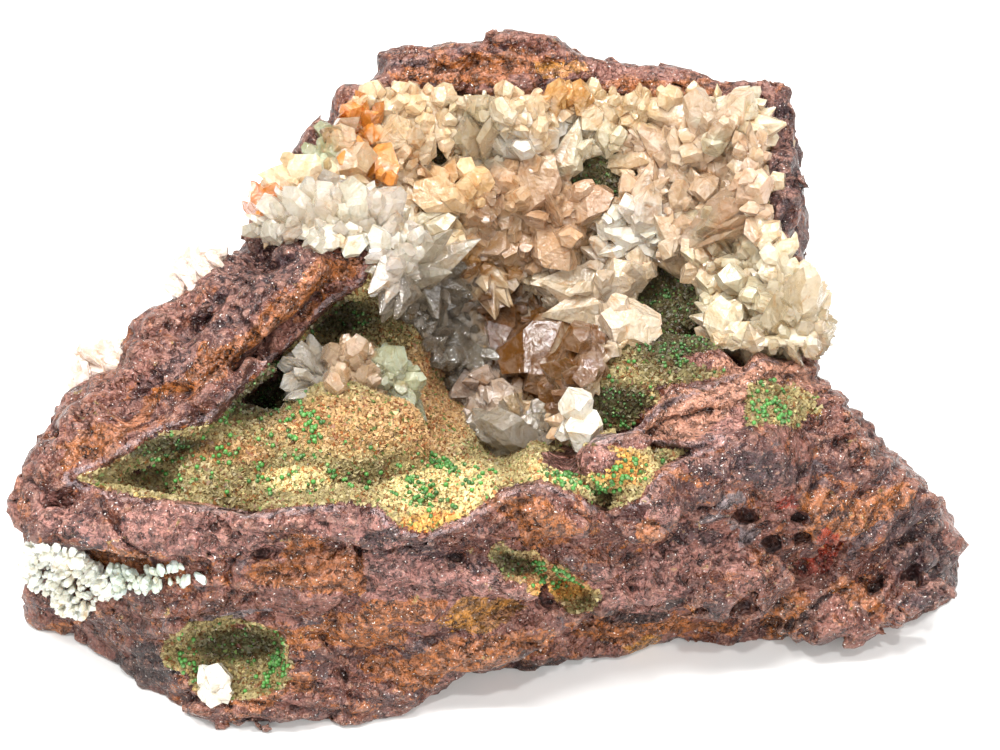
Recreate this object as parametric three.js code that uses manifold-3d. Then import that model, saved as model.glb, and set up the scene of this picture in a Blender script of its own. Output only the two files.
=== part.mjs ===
// A hemimorphite specimen: a block of rusty gossan, broken open on a hollow lined with
// cream, grey and honey crystals. Millimetres, +Z up, the base on z = 0, the open face
// towards -Y.
//
// The open face is laid out as it is seen from VIEW_DISTANCE away and VIEW_ELEVATION above
// the horizon. An outline or a place on it is given in picture points, [across, down], on a
// sheet 1000 wide and 750 high, and a depth in millimetres towards the viewer from the plane
// through CENTRE. The sheet's scale comes from the specimen's real width.
import * as THREE from "three";
import { triTable } from "three/addons/objects/MarchingCubes.js";
import { ConvexGeometry } from "three/addons/geometries/ConvexGeometry.js";
import { mergeVertices } from "three/addons/utils/BufferGeometryUtils.js";
import Module from "manifold-3d";

// Driving dimensions
const SPECIMEN_WIDTH = 180;
const WIDTH_IN_POINTS = 918;
const VIEW_ELEVATION = THREE.MathUtils.degToRad(35);
const VIEW_DISTANCE = 450;
const CENTRE = new THREE.Vector3(0, 0, 44);
const SHEET_MIDDLE = [500, 375];
const GRID_STEP = 7.3; // of the rock's faceted surface
const CRUST_STEP = 9; // of the crystal lining's
const CRUST_THICKNESS = 5;
const GAP = 0.35; // between a piece and the rock it sits on
const ROOT_SUNK = 3.5; // of a crystal's root in what it grows from

const POINTS_PER_MM = WIDTH_IN_POINTS / SPECIMEN_WIDTH;
const RIGHT = new THREE.Vector3(1, 0, 0);
const UP = new THREE.Vector3(0, Math.sin(VIEW_ELEVATION), Math.cos(VIEW_ELEVATION));
const AWAY = new THREE.Vector3(0, Math.cos(VIEW_ELEVATION), -Math.sin(VIEW_ELEVATION));
const EYE = CENTRE.clone().addScaledVector(AWAY, -VIEW_DISTANCE);

// The edge of the rock against the sky, from its left end over the top to the right and back
// under the foot.
const SILHOUETTE = [
  [30, 480], [48, 450], [61, 436], [66, 416], [88, 390], [120, 373], [140, 325], [172, 306],
  [204, 284], [234, 252], [252, 236], [262, 205], [290, 178], [315, 130], [330, 105],
  [345, 88], [365, 92], [388, 75], [390, 63], [430, 55], [470, 44], [505, 38], [560, 48],
  [600, 62], [640, 68], [700, 78], [735, 87], [760, 84], [780, 94], [790, 110], [797, 200],
  [797, 255], [806, 300], [806, 350], [812, 385], [830, 398], [845, 415], [870, 445],
  [885, 460], [905, 478], [925, 498], [940, 515], [957, 545], [950, 575], [942, 600],
  [935, 612], [908, 630], [860, 642], [830, 650], [760, 652], [690, 647], [640, 643],
  [600, 650], [575, 653], [563, 660], [555, 672], [520, 681], [498, 673], [470, 675],
  [440, 694], [405, 716], [300, 721], [200, 717], [165, 692], [118, 675], [90, 650],
  [60, 642], [38, 632], [28, 600], [26, 540],
];

// The mouth of the hollow: along the arm's lower edge, round the crystal bank, down the right
// ridge and back along the wavy rim of the front wall.
const MOUTH = [
  [70, 478], [110, 462], [160, 432], [215, 420], [245, 385], [285, 350], [330, 305],
  [366, 282], [372, 240], [300, 236], [262, 232], [268, 205], [300, 180], [345, 135],
  [362, 100], [400, 88], [450, 92], [520, 98], [560, 92], [640, 98], [700, 108], [735, 108],
  [762, 100], [768, 150], [772, 220], [790, 270], [806, 330], [800, 356], [760, 356],
  [735, 372], [700, 385], [660, 402], [630, 430], [600, 440], [620, 446], [700, 448],
  [720, 440], [690, 452], [660, 470], [640, 500], [610, 512], [575, 495], [540, 480],
  [505, 490], [460, 520], [425, 535], [398, 528], [380, 508], [340, 503], [300, 508],
  [250, 513], [200, 504], [150, 500], [100, 490],
];

// Depths of the broken outer face: [across, down, mm towards the viewer].
const FACE_DEPTHS = [
  [60, 470, 36], [150, 400, 28], [130, 465, 36], [250, 320, 20], [330, 270, 17],
  [372, 245, 14], [300, 508, 46], [200, 503, 44], [420, 530, 48], [500, 495, 46],
  [560, 482, 44], [620, 515, 40], [700, 455, 36], [750, 445, 33], [850, 455, 19],
  [900, 485, 14], [640, 430, 26], [700, 415, 25], [750, 375, 20], [790, 355, 15],
  [940, 545, 5], [830, 420, 17], [500, 60, -9], [400, 75, -8], [600, 78, -10], [700, 90, -9],
  [775, 105, -5], [785, 200, 5], [797, 300, 12], [345, 110, -3], [300, 180, 4],
  [260, 230, 10], [740, 400, 24],
];

// Depths inside the hollow: the shelf, the recess under the arm, the deep part, the right-hand
// valley and the bank that carries the crystals.
const HOLLOW_DEPTHS = [
  [110, 480, 32], [150, 460, 25], [200, 480, 33], [300, 492, 36], [250, 455, 25],
  [180, 440, 22], [350, 480, 32], [400, 505, 37], [430, 480, 31], [480, 490, 34],
  [540, 470, 33], [640, 490, 28], [600, 465, 32], [690, 445, 30],
  [250, 400, -6], [300, 350, -8], [330, 320, -8], [225, 425, 14], [290, 410, 0],
  [360, 380, 2], [400, 350, -2], [380, 420, 14], [440, 430, 4], [450, 455, 16],
  [470, 390, -26], [500, 440, -16], [560, 435, -10], [520, 300, -28], [600, 330, -24],
  [460, 320, -22], [540, 380, -26], [500, 250, -20], [560, 260, -22],
  [400, 280, -10], [450, 220, -12], [550, 200, -14], [650, 200, -14], [750, 200, -6],
  [780, 300, 0], [700, 330, -8], [640, 280, -16], [620, 400, -8], [680, 400, 6],
  [730, 355, 0], [420, 120, -11], [600, 120, -14], [740, 120, -8], [330, 200, -2],
  [285, 225, 2], [350, 150, -6], [500, 130, -13],
];

// The front wall seen from above: [x, y] along its rim and along its foot, and [x, z] along
// the ledge below which it steps back.
const RIM_HEIGHT = 50;
const RIM_LINE = [
  [-100, -34], [-86, -40], [-70, -46], [-40, -50], [-15, -51], [0, -50], [15, -46], [30, -43],
  [40, -38], [60, -30], [80, -24], [95, -20],
];
const FOOT_LINE = [
  [-100, -22], [-86, -26], [-75, -34], [-62, -48], [-40, -52], [-15, -50], [0, -42],
  [15, -36], [30, -33], [45, -31], [60, -30], [80, -24], [95, -16],
];
const LEDGE_LINE = [[-30, 0], [-19, 0], [5, 12], [37, 12.5], [47, 9], [62, 3], [70, 0]];
const LEDGE_STEP = 2.5;

// The back of the block is three broken planes: [normal, distance from the origin].
const BACK_PLANES = [
  [new THREE.Vector3(0, 1, 0), 54],
  [new THREE.Vector3(-0.78, 0.6, 0.15), 62],
  [new THREE.Vector3(0.8, 0.58, 0.15), 84],
];

// Lumps grown on the shelf and the arm: place, radii and how softly they run in.
const LUMPS = [
  { at: [350, 446, 26], radii: [15, 11, 8], blend: 3 }, // mound of brown grains
  { at: [228, 448, 22], radii: [9, 8, 4], blend: 3 }, // lower mound beside it
  { at: [668, 396, 11], radii: [16, 12, 10], blend: 3 }, // boulder right of the hollow
  { at: [335, 262, 17], radii: [9, 5, 5], blend: 2 }, // knob at the arm's top
  { at: [616, 466, 33], radii: [6, 4, 3.5], blend: 2 }, // yellow hump on the rim
];

// Swellings, lips and ledges that stand out of the front wall and the arm, fused to them.
const RIDGES = [
  { at: [345, 520, 42], radii: [18, 3.6, 4.5], turn: 0, blend: 2 }, // brown swelling
  { at: [225, 620, 21], radii: [15, 2.6, 4.5], turn: 5, blend: 2 }, // lip over the pocket
  { at: [520, 508, 40], radii: [13, 6.5, 4.5], turn: -12, blend: 2 }, // lobe of the rim
  { at: [558, 545, 30.5], radii: [12, 2.8, 4], turn: -28, blend: 2 }, // brow over the slit
  { at: [652, 502, 34], radii: [8, 4.6, 4.5], turn: 42, blend: 2 }, // lobe right of it
  { at: [604, 598, 17], radii: [22, 3, 4.5], turn: 7, blend: 2 }, // lip of the ledge
  { at: [490, 632, 21], radii: [17, 3.5, 4.5], turn: 14, blend: 2 }, // its left end
  { at: [440, 572, 35], radii: [24, 4, 4], turn: -6, blend: 2 },
  { at: [120, 532, 35], radii: [16, 3.5, 4], turn: -8, blend: 2 },
  { at: [710, 575, 16], radii: [17, 8, 5], turn: 0, blend: 2 },
  { at: [865, 610, 3], radii: [17, 4, 5], turn: 12, blend: 2 },
  { at: [300, 690, 18], radii: [22, 4, 4], turn: 8, blend: 2 },
  { at: [200, 372, 23], radii: [34, 3.5, 4.5], turn: 42, blend: 2 }, // bands of the arm
  { at: [150, 440, 29], radii: [28, 3, 4], turn: 30, blend: 2 },
];

// Pockets eaten into the front wall: place, radii across, up and into the wall, and the turn
// of their long way.
const POCKETS = [
  { at: [222, 662, 25], radii: [13, 8, 8.5], turn: 4 }, // lower left, lined with grains
  { at: [66, 580, 28], radii: [9, 7.5, 7], turn: 0 }, // left end, holds the white druse
];
const SMALL_PITS = [
  { at: [541, 577], radii: [9.5, 4.2, 7], turn: -28 }, // slit in the middle
  { at: [744, 513], radii: [3.4, 1.8, 4], turn: -10 },
  { at: [769, 542], radii: [2.6, 1.5, 4], turn: -15 },
  { at: [801, 528], radii: [1.8, 2.6, 4], turn: 10 },
  { at: [822, 492], radii: [3.2, 1.3, 3], turn: 25 },
  { at: [826, 570], radii: [4.6, 4.2, 3.5], turn: 0 }, // glossy red hollow
  { at: [744, 612], radii: [2.4, 1.9, 4.5], turn: 0 },
  { at: [915, 585], radii: [1.8, 2.2, 3.5], turn: 0 },
  { at: [265, 552], radii: [2.4, 1.6, 2.6], turn: 20 },
  { at: [103, 587], radii: [3.6, 1.7, 4.5], turn: 10 },
];

// The crystals' lining: where it covers the hollow, and the bare places left in it, as
// [across, down, half width, half height].
const LINING = [
  [250, 240], [248, 215], [262, 190], [300, 168], [345, 95], [400, 80], [470, 92], [560, 88],
  [660, 92], [762, 90], [770, 230], [800, 270], [820, 290], [828, 330], [815, 352],
  [745, 352], [715, 340], [700, 300], [655, 270], [642, 300], [640, 340], [604, 372],
  [580, 430], [545, 450], [480, 450], [440, 375], [385, 292], [368, 250],
];
const BARE_PLACES = [[600, 176, 36, 22], [683, 318, 34, 44], [443, 154, 17, 12]];

// The crystals that stand out: [across, down, length, width, heading, lean, kind]. Across and
// down are the middle of the root, heading is in degrees from the right-hand side of the
// sheet, and lean is how far the crystal turns towards the viewer.
const LARGE_CRYSTALS = [
  [484, 148, 12, 9, 84, 0.5, "blade"], [411, 276, 19, 8.5, 25, 0.5, "point"],
  [416, 264, 5, 5, 70, 1.2, "block"], [408, 256, 4.5, 4, 130, 1.2, "block"],
  [394, 266, 9, 6, 228, 0.6, "point"], [412, 224, 8, 7.5, 170, 0.9, "block"],
  [430, 226, 8, 7, 10, 0.9, "block"], [452, 205, 11, 8, 150, 0.7, "block"],
  [462, 196, 9, 7, 40, 0.7, "block"], [510, 146, 12, 8.5, 14, 0.6, "block"],
  [556, 104, 6, 5, 85, 0.4, "block"], [580, 104, 5.5, 4, 88, 0.4, "block"],
  [566, 158, 10, 8, 75, 0.6, "point"], [636, 118, 8, 5.5, 85, 0.4, "point"],
  [682, 156, 10, 7, 85, 0.5, "point"], [616, 164, 10, 5, 8, 0.6, "block"],
  [716, 138, 12, 7, 52, 0.4, "block"], [700, 128, 9, 6, 100, 0.5, "block"],
  [705, 232, 14, 8.5, 38, 0.4, "blade"], [640, 238, 10, 6.5, 168, 0.6, "point"],
  [642, 222, 9, 8, 80, 0.6, "block"], [714, 290, 9, 9, 80, 0.8, "block"],
  [796, 318, 11, 7, 74, 0.3, "block"], [745, 338, 19, 8, -4, 0.25, "point"],
  [752, 352, 13, 6, -14, 0.2, "point"], [722, 322, 7, 6, 250, 0.6, "point"],
  [590, 282, 14, 8, 184, 0.4, "point"], [596, 306, 13, 8, 190, 0.4, "point"],
  [612, 300, 11, 7.5, 70, 0.8, "block"], [600, 326, 10, 9, 240, 0.5, "block"],
  [632, 316, 8, 8, 300, 0.5, "block"], [402, 284, 8, 5.5, 260, 0.4, "point"],
  [428, 286, 8, 5.5, 285, 0.4, "point"], [484, 286, 9, 7, 290, 0.5, "point"],
  [504, 322, 10, 8, 255, 0.5, "point"], [560, 336, 16, 13, 215, 0.3, "block"],
  [582, 352, 13, 11, 260, 0.3, "block"], [486, 384, 10, 8, 200, 0.6, "point"],
  [500, 396, 8, 7, 290, 0.6, "point"], [500, 440, 12, 8, 20, 0.3, "block"],
  [526, 440, 11, 7, 150, 0.3, "block"], [455, 340, 8, 7, 230, 0.6, "point"],
  [470, 352, 8, 6, 300, 0.6, "point"], [365, 132, 8, 5, 95, 0.3, "blade"],
  [356, 172, 9, 6, 120, 0.3, "blade"], [334, 236, 11, 7, 118, 0.5, "blade"],
  [310, 238, 12, 7, 132, 0.5, "blade"], [290, 236, 10, 6, 146, 0.5, "blade"],
  [270, 238, 7, 5, 160, 0.5, "blade"], [358, 236, 11, 8, 98, 0.5, "blade"],
  [380, 236, 10, 7, 78, 0.5, "blade"], [300, 180, 10, 6, 170, 0.3, "blade"],
  [530, 196, 11, 9, 60, 0.5, "block"], [545, 232, 12, 9, 300, 0.6, "block"],
  [505, 232, 9, 8, 220, 0.6, "block"], [576, 212, 10, 8, 20, 0.6, "block"],
];
const SMALL_CRYSTALS = 26; // scattered over the rest of the lining

// The cluster on the shelf: white blades that fan out at its left, clear and cream lumps, and
// greenish clear ones at its right.
const FAN_CRYSTALS = [
  [312, 382, 8, 4.5, 172, 0.5, "blade"], [312, 374, 8.5, 4.5, 150, 0.5, "blade"],
  [322, 366, 8, 5, 124, 0.5, "blade"], [312, 392, 7, 4.5, 196, 0.5, "blade"],
  [338, 366, 8, 6, 100, 0.6, "block"], [354, 366, 8, 6, 82, 0.6, "block"],
  [340, 388, 7.5, 7, 120, 1.2, "block"], [364, 384, 8, 7, 70, 1.1, "block"],
  [384, 380, 8, 6.5, 50, 0.7, "block"], [396, 394, 8, 6, 320, 0.7, "block"],
  [402, 384, 8, 6, 25, 0.6, "block"], [384, 364, 7, 5, 75, 0.6, "point"],
];
const FAN_HEART = { at: [352, 390, 12], radii: [10.5, 7, 6] };
const STUB_BASE = [580, 452, 25];
const STUB_HEIGHT = 12;
const STUB_WIDTH = 8.5;

// The white druse in the left end's pocket.
const DRUSE = [
  [32, 552], [56, 547], [84, 556], [104, 572], [104, 590], [86, 608], [60, 616], [32, 608],
];
const DRUSE_HEART = { at: [69, 580, 12], radii: [7.5, 6.5, 5.5] };
const DRUSE_CRYSTALS = 12;
const DRUSE_LENGTH = 5.5;
const DRUSE_WIDTH = 5;

const POCKET_CRYSTAL = [217, 690, 6, 5.5, 80, 0.6, "block"];

// Pale crystals on the arm's far side, whose tips show past its edge.
const ARM_DRUSE_DEPTH = 14;
const ARM_DRUSES = {
  arm_druse_low: [[92, 392], [104, 380], [118, 372], [131, 362]],
  arm_druse_high: [[196, 298], [210, 286], [224, 274]],
};

const wasm = await Module();
wasm.setup();

// Random numbers that come out the same each time.
function dice(seed) {
  let state = seed;
  return () => {
    state = (state * 1664525 + 1013904223) % 4294967296;
    return state / 4294967296;
  };
}

// The point of the model that shows at a place on the sheet, at a depth.
function placeAt(across, down, depth) {
  const shrink = (VIEW_DISTANCE - depth) / VIEW_DISTANCE / POINTS_PER_MM;
  return CENTRE.clone()
    .addScaledVector(RIGHT, (across - SHEET_MIDDLE[0]) * shrink)
    .addScaledVector(UP, (SHEET_MIDDLE[1] - down) * shrink)
    .addScaledVector(AWAY, -depth);
}

// Where a point of the model shows on the sheet, its depth and the sheet's scale there.
function seen(point) {
  const fromEye = point.clone().sub(EYE);
  const away = fromEye.dot(AWAY);
  const scale = (POINTS_PER_MM * VIEW_DISTANCE) / away;
  return {
    across: SHEET_MIDDLE[0] + scale * fromEye.dot(RIGHT),
    down: SHEET_MIDDLE[1] - scale * fromEye.dot(UP),
    depth: VIEW_DISTANCE - away,
    scale,
  };
}

// How far a place lies outside an outline, in picture points: negative inside it.
function outside(outline, across, down) {
  let nearest = Infinity;
  let inside = false;
  for (let i = 0, j = outline.length - 1; i < outline.length; j = i, i += 1) {
    const [ax, ay] = outline[i];
    const [bx, by] = outline[j];
    const ex = bx - ax;
    const ey = by - ay;
    const along = ((across - ax) * ex + (down - ay) * ey) / (ex * ex + ey * ey);
    const t = THREE.MathUtils.clamp(along, 0, 1);
    nearest = Math.min(nearest, Math.hypot(across - ax - ex * t, down - ay - ey * t));
    if (ay > down !== by > down && across < ax + (ex * (down - ay)) / ey) {
      inside = !inside;
    }
  }
  return inside ? -nearest : nearest;
}

// A smooth sheet through [across, down, depth] points, each weighed by its nearness.
const SHEET_SOFTNESS = 700;
const SHEET_POWER = 2.25;
function depthFrom(points, across, down) {
  let sum = 0;
  let weights = 0;
  for (const [a, b, depth] of points) {
    const weight = ((across - a) ** 2 + (down - b) ** 2 + SHEET_SOFTNESS) ** -SHEET_POWER;
    sum += weight * depth;
    weights += weight;
  }
  return sum / weights;
}

// Straight lines through [x, value] points.
function alongLine(line, x) {
  if (x <= line[0][0]) return line[0][1];
  for (let i = 1; i < line.length; i += 1) {
    const [x0, y0] = line[i - 1];
    const [x1, y1] = line[i];
    if (x <= x1) return y0 + ((y1 - y0) * (x - x0)) / (x1 - x0);
  }
  return line[line.length - 1][1];
}

function smoothMax(a, b, blend) {
  const h = THREE.MathUtils.clamp(0.5 + (0.5 * (a - b)) / blend, 0, 1);
  return b + (a - b) * h + blend * h * (1 - h);
}

function smoothMin(a, b, blend) {
  return -smoothMax(-a, -b, blend);
}

// Distance to an ellipsoid whose axes lie along the sheet and towards the viewer, its long
// way turned on the sheet.
function ellipsoidDistance(point, { at, radii, turn = 0 }) {
  const offset = point.clone().sub(placeAt(...at));
  const angle = THREE.MathUtils.degToRad(turn);
  const x = offset.dot(RIGHT);
  const y = offset.dot(UP);
  const local = [
    x * Math.cos(angle) + y * Math.sin(angle),
    y * Math.cos(angle) - x * Math.sin(angle),
    offset.dot(AWAY),
  ];
  const near = Math.hypot(...local.map((value, axis) => value / radii[axis]));
  const steep = Math.hypot(...local.map((value, axis) => value / radii[axis] ** 2));
  return (near * (near - 1)) / Math.max(steep, 1e-9);
}

// Long waves that break up the rock's faces, in millimetres.
function waves({ x, y, z }) {
  const drift = 1.7 * Math.sin(0.07 * z + 0.05 * y);
  const swell = Math.sin(0.14 * x + drift) * Math.sin(0.17 * z - 0.12 * y + Math.sin(0.09 * x));
  const beds = Math.sin(0.38 * z - 0.09 * x + 2.1 * Math.sin(0.05 * x - 0.06 * y + 1));
  return 1.5 * swell + 0.7 * beds;
}

// The front wall's place at a height: it leans from the foot to the rim and steps back below
// the ledge.
function wallFront(x, z) {
  const rise = THREE.MathUtils.clamp(z / RIM_HEIGHT, 0, 1.2);
  const leaning = alongLine(FOOT_LINE, x) * (1 - rise) + alongLine(RIM_LINE, x) * rise;
  const belowLedge = THREE.MathUtils.smoothstep(alongLine(LEDGE_LINE, x) - z, -1.5, 1.5);
  return leaning + LEDGE_STEP * belowLedge;
}

// The rock, as a distance in millimetres: negative inside it.
function rock(point) {
  const { across, down, depth, scale } = seen(point);
  let far = outside(SILHOUETTE, across, down) / scale;
  for (const [normal, distance] of BACK_PLANES) {
    far = smoothMax(far, point.dot(normal.clone().normalize()) - distance, 4);
  }
  far = smoothMax(far, wallFront(point.x, point.z) - point.y, 2.5);
  far = smoothMax(far, (depth - depthFrom(FACE_DEPTHS, across, down)) * 0.8, 3);
  const mouth = -outside(MOUTH, across, down) / scale;
  const floor = (depth - depthFrom(HOLLOW_DEPTHS, across, down)) * 0.7;
  far = smoothMax(far, smoothMin(mouth, floor, 1.5), 1);
  for (const lump of [...LUMPS, ...RIDGES]) {
    far = smoothMin(far, ellipsoidDistance(point, lump), lump.blend);
  }
  for (const pocket of POCKETS) {
    far = smoothMax(far, -ellipsoidDistance(point, pocket), 1);
  }
  return far + waves(point);
}

// Corners and edges of a grid cell, in the order of the addon's table.
const CELL_CORNERS = [
  [0, 0, 0], [1, 0, 0], [1, 1, 0], [0, 1, 0], [0, 0, 1], [1, 0, 1], [1, 1, 1], [0, 1, 1],
];
const CELL_EDGES = [
  [0, 1], [1, 2], [2, 3], [3, 0], [4, 5], [5, 6], [6, 7], [7, 4], [0, 4], [1, 5], [2, 6], [3, 7],
];
const LOW_CORNER = [-97, -62, -7];
const HIGH_CORNER = [97, 64, 104];

function solidFrom(positions, triangles) {
  return new wasm.Manifold(
    new wasm.Mesh({
      numProp: 3,
      vertProperties: new Float32Array(positions),
      triVerts: new Uint32Array(triangles),
    })
  );
}

// The closed surface on which a distance is nought, by marching cubes.
function surfaceSolid(distance, step) {
  const counts = LOW_CORNER.map((low, axis) => Math.ceil((HIGH_CORNER[axis] - low) / step) + 1);
  const cornerNumber = (i, j, k) => i + counts[0] * (j + counts[1] * k);
  const cornerPoint = (i, j, k) =>
    new THREE.Vector3(...[i, j, k].map((n, axis) => LOW_CORNER[axis] + n * step));
  const values = [];
  for (let k = 0; k < counts[2]; k += 1) {
    for (let j = 0; j < counts[1]; j += 1) {
      for (let i = 0; i < counts[0]; i += 1) {
        const onEdge = [i, j, k].some((n, axis) => n === 0 || n === counts[axis] - 1);
        values.push(onEdge ? step : distance(cornerPoint(i, j, k)));
      }
    }
  }
  const positions = [];
  const triangles = [];
  const vertexOn = new Map();
  const crossing = (cell, edge) => {
    const [start, end] = CELL_EDGES[edge]
      .map((corner) => CELL_CORNERS[corner].map((n, axis) => n + cell[axis]))
      .sort((a, b) => cornerNumber(...a) - cornerNumber(...b));
    const key = `${cornerNumber(...start)} ${cornerNumber(...end)}`;
    if (!vertexOn.has(key)) {
      const from = values[cornerNumber(...start)];
      const to = values[cornerNumber(...end)];
      const share = THREE.MathUtils.clamp(from / (from - to), 0.12, 0.88);
      vertexOn.set(key, positions.length / 3);
      positions.push(...cornerPoint(...start).lerp(cornerPoint(...end), share).toArray());
    }
    return vertexOn.get(key);
  };
  for (let k = 0; k < counts[2] - 1; k += 1) {
    for (let j = 0; j < counts[1] - 1; j += 1) {
      for (let i = 0; i < counts[0] - 1; i += 1) {
        let kind = 0;
        CELL_CORNERS.forEach(([a, b, c], corner) => {
          if (values[cornerNumber(i + a, j + b, k + c)] < 0) kind += 2 ** corner;
        });
        for (let row = kind * 16; triTable[row] !== -1; row += 3) {
          const [a, b, c] = [0, 1, 2].map((n) => crossing([i, j, k], triTable[row + n]));
          triangles.push(a, c, b);
        }
      }
    }
  }
  return solidFrom(positions, triangles);
}

// A closed solid from one of the library's geometries, its shared vertices merged.
function solidOf(geometry) {
  const bare = geometry.clone();
  bare.deleteAttribute("normal");
  bare.deleteAttribute("uv");
  const merged = mergeVertices(bare, 1e-4);
  return solidFrom(merged.attributes.position.array, merged.index.array);
}

// The widest of a solid's separate bodies: crumbs left by a cut are dropped.
function mainBody(solid) {
  const bodies = solid.decompose();
  return bodies.reduce((best, body) => (body.volume() > best.volume() ? body : best));
}

function meshOf(name, solid, material) {
  const { numProp, vertProperties, triVerts } = solid.getMesh();
  const positions = [];
  for (let i = 0; i < vertProperties.length; i += numProp) {
    positions.push(...vertProperties.subarray(i, i + 3));
  }
  const geometry = new THREE.BufferGeometry();
  geometry.setAttribute("position", new THREE.Float32BufferAttribute(positions, 3));
  geometry.setIndex([...triVerts]);
  geometry.computeVertexNormals();
  const mesh = new THREE.Mesh(geometry, material);
  mesh.name = name;
  return mesh;
}

// The first place where the line of sight through a place on the sheet meets a surface.
function firstMeeting(distance, across, down, from = 70) {
  let depth = from;
  for (let tries = 0; tries < 160; tries += 1) {
    const gap = distance(placeAt(across, down, depth));
    if (gap < 0.05) break;
    depth -= Math.max(gap * 0.7, 0.1);
  }
  return placeAt(across, down, depth);
}

function outwards(distance, point) {
  const reach = 1.5;
  const slope = [RIGHT, UP, AWAY].map((axis) => {
    const ahead = distance(point.clone().addScaledVector(axis, reach));
    return axis.clone().multiplyScalar(ahead - distance(point.clone().addScaledVector(axis, -reach)));
  });
  return slope.reduce((sum, part) => sum.add(part)).normalize();
}

// One crystal standing on its root: a many-sided prism, narrow at the root, that ends in a
// sharp point, a slanting block end or a thin blade's edge. Each ring is its level along the
// crystal and its share of the full width.
const CRYSTAL_SHAPES = {
  point: { sides: 5, thickness: 0.8, rings: [[0, 0.5], [0.42, 1], [1, 0]] },
  block: { sides: 4, thickness: 0.85, rings: [[0, 0.7], [0.6, 1], [0.96, 0.45]] },
  blade: { sides: 4, thickness: 0.42, rings: [[0, 0.5], [0.7, 1], [1, 0.5]] },
  nub: { sides: 4, thickness: 0.85, rings: [[-0.2, 0], [0.5, 1], [1, 0]] },
};

function crystal(root, axis, length, width, kind, roll) {
  const shape = CRYSTAL_SHAPES[kind];
  const turn = new THREE.Quaternion().setFromUnitVectors(new THREE.Vector3(0, 0, 1), axis);
  const points = [];
  for (const [level, size] of shape.rings) {
    for (let side = 0; side < shape.sides; side += 1) {
      const angle = (2 * Math.PI * (side + 0.5)) / shape.sides;
      const slant = level > 0.9 ? 0.16 * Math.cos(angle + 3 * roll) : 0;
      const across = (width / 2) * size;
      const place = new THREE.Vector3(
        across * Math.cos(angle),
        across * shape.thickness * Math.sin(angle),
        length * (level + slant * size)
      );
      points.push(place.applyAxisAngle(new THREE.Vector3(0, 0, 1), roll));
    }
  }
  const placed = points.map((point) => point.applyQuaternion(turn).add(root));
  return solidOf(new ConvexGeometry(placed));
}

// The direction of a heading on the sheet, in degrees, leaned towards the viewer.
function headingAxis(heading, lean) {
  const angle = THREE.MathUtils.degToRad(heading);
  return new THREE.Vector3()
    .addScaledVector(RIGHT, Math.cos(angle))
    .addScaledVector(UP, Math.sin(angle))
    .addScaledVector(AWAY, -lean)
    .normalize();
}

// A crystal whose root is sunk a little into the surface behind its place on the sheet.
function placedCrystal(distance, [across, down, length, width, heading, lean, kind]) {
  const axis = headingAxis(heading, lean);
  const root = firstMeeting(distance, across, down).addScaledVector(axis, -ROOT_SUNK);
  return crystal(root, axis, length + ROOT_SUNK, width, kind, across + down);
}

// A layer on the rock inside an outline on the sheet, reaching back to a depth.
function layer(outline, thickness, backDepth, bare = []) {
  return (point) => {
    const { across, down, depth, scale } = seen(point);
    let far = Math.max(rock(point) - thickness, outside(outline, across, down) / scale);
    for (const [middle, height, halfWidth, halfHeight] of bare) {
      const near = Math.hypot((across - middle) / halfWidth, (down - height) / halfHeight);
      far = Math.max(far, ((1 - near) * halfHeight) / scale);
    }
    return Math.max(far, backDepth(across, down) - depth);
  };
}

// The space of a pit or pocket.
function pitSolid(middle, { radii, turn }) {
  const pit = new THREE.IcosahedronGeometry(1, 1);
  pit.scale(...radii);
  pit.rotateZ(THREE.MathUtils.degToRad(turn));
  pit.applyMatrix4(new THREE.Matrix4().makeBasis(RIGHT, UP, AWAY.clone().negate()));
  pit.translate(...middle.toArray());
  return solidOf(pit);
}

// The block of gossan, its pits eaten in and its base cut flat on z = 0.
function gossanSolid() {
  let solid = surfaceSolid(rock, GRID_STEP);
  for (const pit of SMALL_PITS) {
    solid = solid.subtract(pitSolid(firstMeeting(rock, ...pit.at), pit));
  }
  for (const pocket of POCKETS) {
    solid = solid.subtract(pitSolid(placeAt(...pocket.at), pocket));
  }
  const below = new THREE.BoxGeometry(300, 300, 50);
  below.translate(0, 0, -25);
  return mainBody(solid.subtract(solidOf(below)));
}

// Places scattered over an outline, no two nearer than a spacing.
function scattered(outline, count, spacing, roll, bare = []) {
  const acrosses = outline.map(([across]) => across);
  const downs = outline.map(([, down]) => down);
  const low = [Math.min(...acrosses), Math.min(...downs)];
  const size = [Math.max(...acrosses) - low[0], Math.max(...downs) - low[1]];
  const places = [];
  for (let tries = 0; tries < 6000 && places.length < count; tries += 1) {
    const [across, down] = [low[0] + size[0] * roll(), low[1] + size[1] * roll()];
    const onBare = bare.some(
      ([middle, height, w, h]) => Math.hypot((across - middle) / w, (down - height) / h) < 1.1
    );
    const crowded = places.some(([a, b]) => Math.hypot(a - across, b - down) < spacing);
    if (outside(outline, across, down) < -4 && !onBare && !crowded) places.push([across, down]);
  }
  return places;
}

// Small crystals that stand out from a surface at scattered places.
function scatteredCrystals(distance, places, length, width, roll) {
  return places.map(([across, down], number) => {
    const root = firstMeeting(distance, across, down);
    const wander = new THREE.Vector3(roll() - 0.5, roll() - 0.5, roll() - 0.5);
    const axis = outwards(distance, root).addScaledVector(wander, 1.1).normalize();
    const size = 0.7 + 0.6 * roll();
    root.addScaledVector(axis, -0.4 * ROOT_SUNK);
    return crystal(root, axis, length * size, width * size, "nub", number);
  });
}

const paint = (colour, roughness) =>
  new THREE.MeshStandardMaterial({ color: colour, roughness, metalness: 0 });

const gossan = gossanSolid();
const clearance = surfaceSolid((point) => rock(point) - GAP, GRID_STEP);
const offRock = (solid) => mainBody(solid.subtract(clearance).subtract(gossan));

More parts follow.
